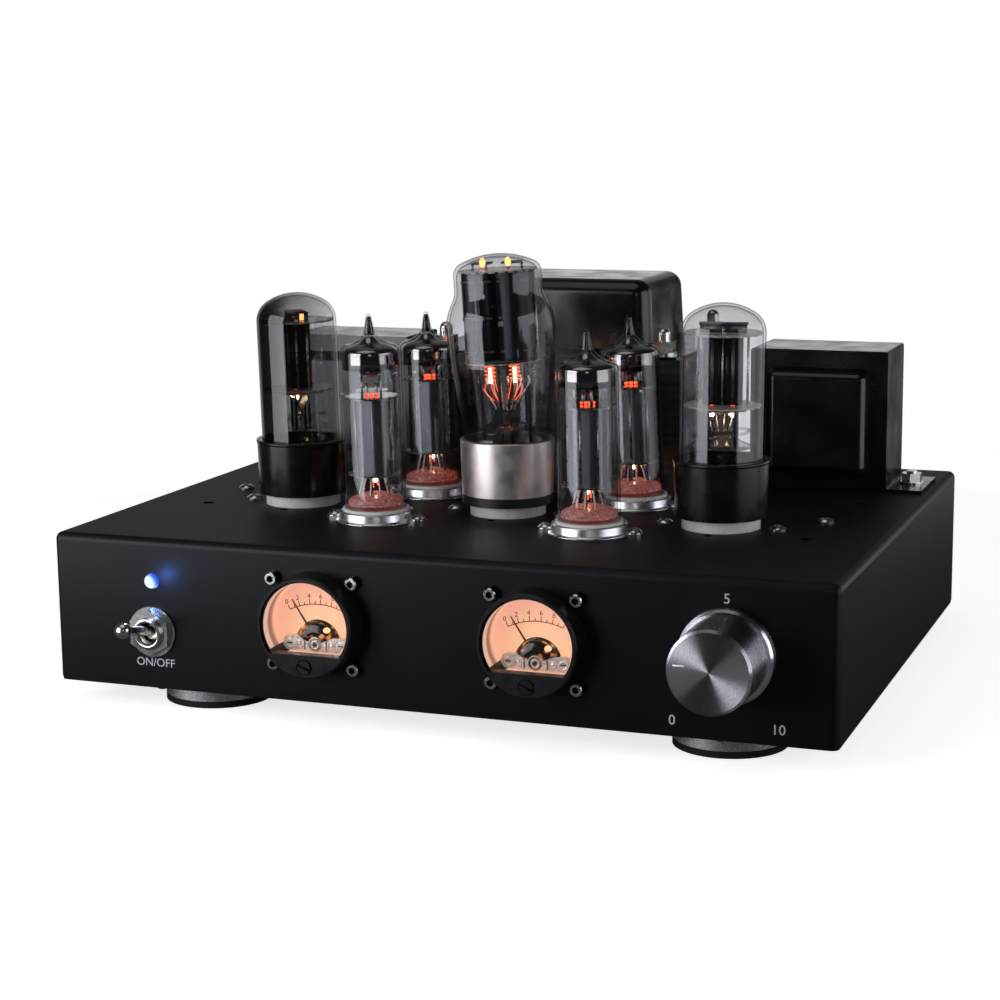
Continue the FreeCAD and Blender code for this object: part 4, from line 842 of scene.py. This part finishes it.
def small_tube(tube, spin):
    """Everything inside one output tube, with heights counted from the deck."""
    place = in_tube(tube, spin)
    shoulder = shoulders[tube]
    anode, anode_top = 18.0, 43.6
    posts_foot, posts_top = 44.4, 52.3
    circle = [(5.95 * math.cos(a), 5.95 * math.sin(a)) for a in np.radians(108 + 36 * np.arange(9))]
    wires = [carried(bent([(x, y, 7.0), (0.9 * x, 0.9 * y, 11.0), (0.62 * x, 0.62 * y, 16.8)], 6), 0.32, 6)
             for x, y in circle]
    posts = [bar((x, y, posts_foot), (x, y, posts_top), 0.4) for x in (-3.4, 3.4) for y in (-3.0, 3.0)]
    posts += [bar((x, 0, posts_foot), (x, 0, 49.5), 0.55) for x in (-1.7, 1.7)]
    posts += [bar((-3.6, y, 52.2), (3.6, y, 52.2), 0.35) for y in (-3.0, 3.0)]
    seams = [slab((left, front, anode), (end, back, anode_top))
             for left, end, front, back in ((-0.35, 0.35, -5.35, -4.95), (-6.4, -6.05, -3.6, -3.2),
                                            (6.05, 6.4, -3.6, -3.2))]
    piece(tube + "_wires", tube, nickel, wires + posts + seams, place)
    cup = turned([(0.02, 52.4), (2.6, 52.4), (3.3, 53.6), (3.3, 54.6), (2.7, 54.6), (2.2, 53.4),
                  (0.02, 53.4)], 24)
    beads = [ball((x, y, 52.7), 0.85) for x in (-3.4, 3.4) for y in (-3.0, 3.0)]
    piece(tube + "_getter", tube, nickel, [cup] + beads, place)
    discs = [spacer(9.75, 16.9, 0.35, 18), spacer(9.75, 44.55, 0.4, 18), spacer(6.5, 46.6, 0.3, 14)]
    piece(tube + "_mica", tube, clear_mica, discs, place)
    button = turned([(0.02, 5.9), (9.8, 5.9), (9.9, 7.4), (8.9, 8.4), (7.2, 8.9), (5.6, 9.6),
                     (3.0, 10.2), (0.02, 10.4)], 36)
    piece(tube + "_button", tube, button_glass, [button], place)
    glow = [ball((2.4 * math.cos(a), 2.2 * math.sin(a), 16.4 + 0.5 * math.sin(3 * a)), 0.6)
            for a in np.arange(0, 6.2, 0.7)]
    glow += [bar((-0.8, 0.4, 11.5), (-0.5, 0.2, 16.8), 0.28), bar((0.9, -0.3, 12.5), (0.6, 0, 16.8), 0.28)]
    glow += [ball((x, y, 45.6), 0.6) for x in (-1.6, 0.1, 1.8) for y in (-1.2, 1.2)]
    piece(tube + "_heat", tube, red_heat, glow, place)
    hot = [ball((0.1, -1.0, 14.6), 0.8), ball((-1.6, -1.4, 16.0), 0.35)]
    piece(tube + "_hot_end", tube, white_heat, hot, place)
    tip = [(0.02, 6.6), (1.75, 6.8), (1.55, 8.6), (1.25, 11.0), (0.8, 13.2), (0.02, 13.5)]
    piece(tube + "_tip", tube, tip_glass, [turned([(r, shoulder + h) for r, h in tip], 24)], place)
    dome = [(9.85, -5.0), (9.85, -2.0), (9.8, 0.2), (9.75, 0.9), (9.4, 1.6), (8.6, 2.3), (7.4, 2.75),
            (6.0, 3.2), (4.2, 3.9), (2.9, 4.8), (2.0, 6.0), (1.4, 6.3)]
    film = [(r - t, shoulder + h - t) for t, line in ((0, dome), (0.12, dome[::-1])) for r, h in line]
    piece(tube + "_flash", tube, flash, [hollow(film, 48)], place)


for tube, spin in ((FRONT_LEFT, 24), (FRONT_RIGHT, -14), (BACK_LEFT, 40), (BACK_RIGHT, 8)):
    small_tube(tube, spin)


def tall_ring(tube):
    """Plated ring round a socket: an upright wall with a rolled upper edge and a small foot."""
    wall = [(12.15, 0.0), (14.3, 0.05), (14.4, 0.4), (13.6, 0.7), (13.35, 1.2), (13.3, 3.3), (13.1, 3.8),
            (12.7, 4.0), (12.3, 3.9), (12.1, 3.6)]
    return shifted(hollow(wall, 64), *sockets[tube][:2])


rings = [tall_ring(tube) for tube in (FRONT_LEFT, BACK_LEFT, FRONT_RIGHT, BACK_RIGHT)]
piece("tall_rings", "chassis", ring_plating, rings, moved_to(0, panel, deck))
print("output tubes filled")

# %% [markdown]
# ## Switch
# The switch is held by a nut on a short threaded bushing, and the lever stands in its mouth. The
# thread is a fine wave on the bushing's outline: a turn of thread is 0.75 mm high.

# %% Switch


def switch_body():
    """Body behind the panel and its bushing, whose radius r = R + d sin(2 pi h / pitch)."""
    low, high = (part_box("toggle_switch_body")[k] / MM for k in (0, 1))
    middle = (low.x + high.x) / 2
    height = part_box("panel_nuts")[0].z / MM + 8.9
    pitch, depth, radius = 0.75, 0.13, 5.62
    thread = [(radius + depth * math.sin(2 * math.pi * h / pitch), h) for h in np.linspace(0.0, 4.3, 60)]
    outline = [(3.5, -1.0), (5.6, -1.0)] + thread + [(5.3, 4.75), (4.3, 4.75), (4.0, 4.4), (3.5, 1.0)]
    points, faces = hollow(outline, 64)
    bushing = np.stack([points[:, 0] + middle, panel - points[:, 2], points[:, 1] + height], 1)
    block = slab((low.x, panel + 1.3, low.z), (high.x, high.y, high.z))
    body = piece("toggle_body", "chassis", plated, [(bushing, faces), block], moved_to(0, 0, 0))
    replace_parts(body, "toggle_switch_body")


switch_body()
print("switch body made")

# %% [markdown]
# ## Large tubes
# The straight tubes hold two dark plates between spacers, with the wires of the stem below and
# a getter cup on top; the shouldered one carries its plates high, on two long glowing springs.

# %% Large tubes


def stem(flare, top, low):
    """Glass stem: a wide flare that narrows to the pinch where the wires come through."""
    out = [(0.02, low), (flare, low), (flare + 0.6, low + 0.7), (0.72 * flare, low + 1.8),
           (0.45 * flare, low + 4.0), (0.36 * flare, top - 2.0), (0.33 * flare, top), (0.02, top + 0.4)]
    return turned(out, 36)


def stem_wires(count, low, high, pinch, reach):
    """Wires that rise from the pinch in a row and spread out to the plates, in turn to the
    front and to the back."""
    wires = []
    for i, x in enumerate(np.linspace(-1, 1, count)):
        side = (-1) ** i
        path = [(pinch * x, 0.2 * side, low), (pinch * x * 1.2, 0.5 * side, low + 2.0),
                (reach * x, 2.6 * side, high - 3.0), (reach * x, 2.6 * side, high)]
        wires.append(carried(bent(path, 6), 0.35, 6))
    return wires


def oval(x, wide, deep, low, high):
    """Rounded box about (x, 0): a superellipse of power 4, carried upright."""
    a = np.linspace(0, 2 * np.pi, 40, endpoint=False)
    c, s = np.cos(a), np.sin(a)
    outline = np.stack([x + wide * np.sign(c) * np.sqrt(abs(c)), deep * np.sign(s) * np.sqrt(abs(s))], 1)
    rows = [np.column_stack([outline, np.full(40, float(h))]) for h in (low, high)]
    return np.vstack(rows), tube_faces(2, 40)


def driver(tube, spin):
    """Everything inside one straight tube, with heights counted from the deck."""
    place = in_tube(tube, spin)
    low, high = 43.4, 67.6      # between the lower and the upper spacer
    wires = stem_wires(8, 33.5, 43.2, 3.2, 5.2)
    wires += [bar((x, y, 68.0), (x, y, 70.6), 0.45)
              for x, y in ((-7, 0), (-3, 0), (3, 0), (7, 0), (0, 4), (0, -4))]
    wires += [bar((x, y, low), (x, y, high), 0.4) for x in (-8.6, 8.6) for y in (-2.0, 2.0)]
    wires += [bar((0.0, y, low), (0.0, y, high), 0.35) for y in (-3.6, 3.6)]
    piece(tube + "_wires", tube, nickel, wires, place)
    plates = [oval(s * 3.6, 3.3, 3.9, 43.5, high) for s in (-1, 1)]
    plates += [bar((x, y, 28.0), (x, y, 43.0), 0.5) for x in (-4.5, 4.5) for y in (-2.5, 2.5)]
    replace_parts(piece(tube + "_plates", tube, dark_anode, plates, place), tube + "_electrodes")
    ribs = [slab((s * 3.6 - 0.5, y - 0.15, 44.2), (s * 3.6 + 0.5, y + 0.15, 67.0))
            for s in (-1, 1) for y in (-4, 4)]
    cup = slab((-8, -3, 68.5), (8, 3, 71.2))
    cup_lip = slab((-8.4, -3.3, 71.2), (8.4, 3.3, 71.5))
    piece(tube + "_ribs", tube, dull_nickel, ribs + [cup, cup_lip], place)
    piece(tube + "_mica", tube, mica_sheet, [spacer(13.5, 42.6, 0.6, 20), spacer(13.6, 67.7, 0.8, 22),
                                             spacer(9.0, 41.2, 0.4, 12)], place)
    piece(tube + "_stem", tube, stem_glass, [stem(10.0, 34.5, 28.2)], place)
    tips = [ball((x, -2.0, 40.2), 0.95, 1.3) for x in (-3.6, 3.6)]
    piece(tube + "_hot_end", tube, white_heat, tips, place)
    heaters = [bar((x, -2.0, 40.8), (x, -2.0, low), 0.8) for x in (-3.6, 3.6)]
    piece(tube + "_heat", tube, red_heat, heaters, place)
    rim, turn = 9.6, np.linspace(0, 2 * np.pi, 48)
    ring = np.stack([rim * np.cos(turn), rim * np.sin(turn), 33.0 + 0.12 * rim * np.cos(turn)], 1)
    piece(tube + "_stem_rim", tube, stem_glass, [carried(ring, 0.55, 8)], place)


left_spin = -54
driver(LEFT, left_spin)
driver(RIGHT, 12)
# painted glint of the heaters' glow on the left tube's getter cup
spot = slab((8.1, -0.2, 68.8), (8.35, 1.3, 71.1))
piece(LEFT + "_getter_spot", LEFT, orange_painted_glint, [spot], in_tube(LEFT, left_spin))
print("straight tubes filled")

# %% Shouldered tube


def rectifier(tube):
    """Everything inside the shouldered tube, with heights counted from the deck."""
    place = in_tube(tube, 10)
    both = (-1, 1)
    wires = stem_wires(6, 37.5, 50.0, 3.4, 9.5)
    wires += [bar((x, 0, 40.0), (x, 0, 88.0), 0.5) for x in (-13.0, 13.0)]
    wires += [carried(bent([(s * 4.5, y, 48.0), (s * 4.0, 0.8 * y, 44.0), (s * 2.0, 0, 39.5)], 8), 0.35, 6)
              for s in both for y in (-3.0, 3.0)]
    wires += [bar((x, 0, 88.0), (x, 0, 90.6), 0.5) for x in (-9, -4, 4, 9)]
    piece(tube + "_wires", tube, nickel, wires, place)
    ribs = [slab((s * 6.5 - 0.8, y - 0.35, 56.4), (s * 6.5 + 0.8, y + 0.35, 87.2))
            for s in both for y in (-8.7, 8.7)]
    ribs += [slab((s * 6.5 - 5.4, -8.75, h), (s * 6.5 + 5.4, -8.45, h + 0.9))
             for s in both for h in (59, 71, 84)]
    ribs += [slab((s * 5.4 - 3.4, -3.2, 90.2), (s * 5.4 + 3.4, 3.2, 90.9)) for s in both]
    piece(tube + "_ribs", tube, dull_nickel, ribs, place)
    discs = [spacer(14.2, 87.6, 0.7, 24), spacer(13.8, 55.0, 0.6, 22)]
    piece(tube + "_mica", tube, mica_sheet, discs, place)
    piece(tube + "_stem", tube, stem_glass, [stem(11.0, 38.0, 29.5)], place)
    coils = [spring(1.7, 48.5, 57.0, 6, 0.3, s * 4.5, -2.0) for s in both]
    for s in both:
        for d in (-1.3, 0.4, 1.5):
            path = [(s * 4.5 + d, -2.0, 49.0), (s * 4.5 + 1.6 * d, -2.4, 45.0), (s * 2.5 + d, -1.0, 41.0)]
            coils.append(carried(bent(path, 6), 0.14, 6))
    piece(tube + "_heat", tube, red_heat, coils, place)
    cores = [bar((s * 4.5, -2.0, 47.5), (s * 4.5, -2.0, 53.0), 0.6) for s in both]
    piece(tube + "_hot_end", tube, white_heat, cores, place)
    # painted glints of the heaters' glow on the getter cups
    getters = [ball((s * 4.6, -3.4, 91.0), 1.1, 1.5) for s in both]
    piece(tube + "_getters", tube, orange_painted_glint, getters, place)


rectifier(MIDDLE)
print("shouldered tube filled")

# %% [markdown]
# ## Printed figures
# The panel carries a few plain figures and the words on and off. A text is made a mesh first,
# then its points are carried onto the panel, standing proud of it by the thickness of the ink.

# %% Printed figures
ink_white = finish("ink_white", (0.5, 0.56, 0.6), 0.5, mottle=0.08)
# dark ink for the dial's print, also used as painted shade in the bridge's screw slots
dark_ink_and_slot_shade = finish("dark_ink_and_slot_shade", (0.06, 0.022, 0.015), 0.6, mottle=0.2)
ink_red = finish("ink_red", (0.55, 0.05, 0.02), 0.6, mottle=0.2)
# painted light: the pointer's white paint also glows a little, so it reads brighter than under the lamps
# alone
white_paint_painted_glow = finish("white_paint_painted_glow", (0.9, 0.91, 0.93), 0.5, mottle=0.04, Emission_Color=(1, 1, 1, 1),
                     Emission_Strength=0.3)


def figures(text, height, thick=0.04):
    """Text as a surface in the XZ plane, centred, its face towards -Y."""
    curve = bpy.data.curves.new("figures", "FONT")
    curve.body, curve.size, curve.extrude = text, height / 0.72, thick / 2
    curve.align_x = curve.align_y = "CENTER"
    curve.resolution_u = 4
    thing = added("figures", curve)
    bpy.context.view_layer.update()
    mesh = bpy.data.meshes.new_from_object(thing.evaluated_get(bpy.context.evaluated_depsgraph_get()))
    points = np.empty(3 * len(mesh.vertices))
    mesh.vertices.foreach_get("co", points)
    points = points.reshape(-1, 3)
    points[:, 0] -= (points[:, 0].min() + points[:, 0].max()) / 2
    points[:, 1] -= (points[:, 1].min() + points[:, 1].max()) / 2
    faces = [list(p.vertices) for p in mesh.polygons]
    bpy.data.objects.remove(thing)
    return np.stack([points[:, 0], -points[:, 2] - thick / 2, points[:, 1]], 1), faces


pointer = slab((-11.4, -0.04, 1.5), (-7.7, 0.02, 1.9))
piece("knob_pointer", "volume_control", white_paint_painted_glow, [pointer],
      moved_to(104.3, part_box("volume_knob")[0].y / MM, base + 27.3))
for name, text, size, x, z in (("five", "5", 3.4, 103.8, 45.6), ("zero", "0", 3.4, 86.0, 4.6),
                               ("ten", "10", 3.4, 121.3, 4.4), ("on_off", "ON/OFF", 3.0, -101.0, 8.3)):
    piece("figure_" + name, "chassis", ink_white, [figures(text, size)], moved_to(x, panel, base + z))
print("figures printed")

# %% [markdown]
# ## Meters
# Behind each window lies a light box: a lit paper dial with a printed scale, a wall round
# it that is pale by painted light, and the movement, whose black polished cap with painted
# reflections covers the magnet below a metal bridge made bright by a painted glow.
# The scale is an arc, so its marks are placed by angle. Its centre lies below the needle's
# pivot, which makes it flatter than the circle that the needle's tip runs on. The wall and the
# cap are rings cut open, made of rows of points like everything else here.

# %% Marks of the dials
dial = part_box("meter_dials")[0].y / MM
ARC = 23.0                      # radius of the scale
ARC_FOOT = -17.3                # the arc's centre, counted from the middle of the meter
FIRST, RED, LAST = -27.0, 11.0, 22.0    # angles where the scale starts, turns red and ends


def dial_marks(side, centre):
    """Scale of one dial: a point at radius r and angle a is (r sin a, r cos a + foot)."""
    def spot(radius, angle):
        return np.array([radius * math.sin(angle), -0.03, ARC_FOOT + radius * math.cos(angle)])

    parts, red = [], []
    for target, start, end, count in ((parts, FIRST, RED, 40), (red, RED, LAST, 14)):
        line = [spot(ARC, angle) for angle in np.radians(np.linspace(start, end, count))]
        target.append(carried(line, 0.16, 6))
    for i, angle in enumerate(np.radians(np.linspace(FIRST, LAST, 11))):
        tick = 1.7 if i % 2 == 0 else 1.0
        (red if i > 7 else parts).append(bar(spot(ARC, angle), spot(ARC + tick, angle), 0.14, 6))
    for i, text in enumerate(("0", "2", "4", "6", "8", "10")):
        angle = math.radians(FIRST + (LAST - FIRST) * i / 5)
        mark = shifted(figures(text, 1.7), 25.9 * math.sin(angle), 0,
                       ARC_FOOT + 25.9 * math.cos(angle))
        (red if i > 3 else parts).append(mark)
    place = moved_to(centre, dial, METER_Z)
    piece("dial_marks_" + side, "chassis", dark_ink_and_slot_shade, parts, place)
    piece("dial_red_marks_" + side, "chassis", ink_red, red, place)


# %% Light boxes
MOUTH = -7.6                    # the window's end of the light box, out of the panel


def liner_finish(name):
    """Wall of the light box, its light painted as emission: pale pink by the window, a painted brown
    shadow, then as lit as the dial.
    """
    material = glowing(name, (0.95, 0.4, 0.22), 0.85, (0.3, 0.2, 0.15))
    tree = material.node_tree
    depth = spread(tree, object_axes(tree)["Y"], 0.0, 1.0, (panel + MOUTH) * MM, (panel + 4.0) * MM)
    # painted light and painted shadow: the wall's emission runs pale pink, brown, then as bright as the
    # dial
    feed(material, "Emission Color",
         ramp(tree, depth, (0.2, (0.85, 0.5, 0.4)), (0.32, (0.2, 0.1, 0.08)), (0.5, (0.3, 0.15, 0.1)),
              (0.62, (0.9, 0.46, 0.31))))
    return material


def liner(side, centre):
    """Wall of the light box round a dial, open below, and its floor; their paleness is painted light."""
    angles = np.radians(np.linspace(-32, 212, 60))
    back = dial - 0.02 - panel
    rows = [np.stack([r * np.cos(angles), 0 * angles + y, r * np.sin(angles)], 1)
            for r, y in ((15.35, back), (15.35, MOUTH), (15.2, MOUTH), (15.2, back))]
    wall = (np.stack(rows, 1).reshape(-1, 3), tube_faces(60, 4))
    floor = slab((-10.4, -7.4, -10.78), (10.4, 3.5, -10.7))
    piece("dial_liner_" + side, "chassis", liner_painted_light, [wall, floor], moved_to(centre, panel, METER_Z))


# %% Movements


def dome_black(name):
    """Black polished cap with painted reflections: the orange bulbs beside it are painted into it as
    glowing spots.
    """
    material = finish(name, (0.012, 0.01, 0.012), 0.12, Emission_Strength=0.8)
    tree = material.node_tree
    # painted reflections of the orange bulbs, as spots of emission
    feed(material, "Emission Color",
         ramp(tree, noise(tree, 330.0, 1.0), (0.54, (0.0, 0.0, 0.0)), (0.6, (0.5, 0.12, 0.03)),
              (0.7, (1.0, 0.45, 0.15))))
    return material


def hoop(x, y, radius, turn, wire):
    """Wire bent to a circle in a plane that faces the front."""
    return carried(np.stack([x + radius * np.cos(turn), 0 * turn + y, radius * np.sin(turn)], 1), wire, 6)


def movement(side, centre):
    """Cap over the magnet, the bridge's face with its screws, brightened by a painted glow, painted
    shade in the slots and round the zero screw, and the bulb's glare.
    """
    place = moved_to(centre, panel, METER_Z - 7.7)
    section = [(2.7, 1.4), (2.7, -0.15), (4.6, 0.0), (6.1, 0.35), (7.2, 0.8), (7.8, 1.4)]
    angles = np.radians(np.linspace(22, 158, 40))
    rows = [np.stack([r * np.cos(angles), 0 * angles + y, r * np.sin(angles)], 1) for r, y in section]
    cap = (np.stack(rows, 1).reshape(-1, 3), tube_faces(40, 6))
    piece("magnet_cap_" + side, "chassis", cap_black, [cap], place)
    turn = np.linspace(-np.pi / 2, 1.5 * np.pi, 40, endpoint=False)
    wide = 9.6 * np.where(np.arange(40) < 20, 1, -1)
    outline = [np.stack([wide + 2.5 * np.cos(turn), 0 * turn + y, 2.5 * np.sin(turn)], 1)
               for y in (0.95, 0.6)]
    face = (np.vstack(outline), tube_faces(2, 40))
    ring = np.linspace(0, 2 * np.pi, 32)
    loops = [hoop(x, y, r, ring, 0.22)
             for x, r, y in ((0, 2.5, 0.3), (0, 1.3, -0.1), (-9.6, 1.3, 0.5), (9.6, 1.3, 0.5))]
    posts = [slab((x - 0.8, 0.3, -1.2), (x + 0.8, 0.7, 1.0)) for x in (-6.0, 6.0)]
    piece("bridge_face_" + side, "chassis", bridge_metal_painted_glow, [face] + loops + posts, place)
    # painted shade: the screws' slots are dark bars laid on the bridge's face
    slots = [slab((x - 1.1, 0.45, -0.2), (x + 1.1, 0.58, 0.2)) for x in (-9.6, 9.6)]
    slots += [slab((x - 0.15, 0.45, -2.0), (x + 0.15, 0.58, 2.0)) for x in (-4.0, 4.0)]
    piece("bridge_slots_" + side, "chassis", dark_ink_and_slot_shade, slots, place)
    glare = ball((4.4, 0.35, 5.3), 1.25, 0.8)
    piece("bulb_glare_" + side, "chassis", warm_glare, [glare], place)
    zero = Vector(tuple(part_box("meter_zero_screws")[0])) / MM
    # painted shade: a black ring in the gap round the zero screw and a black bar in its slot
    dark = [hoop(0, 0, 2.55, ring, 0.16), slab((-2.2, -0.1, -0.3), (2.2, 0.0, 0.3))]
    piece("zero_screw_gap_" + side, "chassis", painted_shade_black, [spun_front(part, 28) for part in dark],
          moved_to(centre, zero.y, zero.z + 2.5))


liner_painted_light = liner_finish("liner_painted_light")
cap_black = dome_black("cap_black")
# painted glow: the bridge's metal emits a warm light, for the bulb's light falling on it
bridge_metal_painted_glow = finish("bridge_metal_painted_glow", (0.75, 0.72, 0.7), 0.3, 1.0, mottle=0.25, mottle_scale=900.0,
                      Emission_Color=(0.9, 0.75, 0.65, 1), Emission_Strength=0.22)
warm_glare = glowing("warm_glare", (1.0, 0.72, 0.38), 1.2)
painted_shade_black = finish("painted_shade_black", (0.001, 0.001, 0.001), 0.6, Specular_IOR_Level=0.1)
for side, centre in (("left", -METER_X), ("right", METER_X)):
    dial_marks(side, centre)
    liner(side, centre)
    movement(side, centre)
print("meters filled")

# %% Close
size = {"cad": [list(c) for c in solid_box], "visual": [list(c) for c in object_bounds()]}
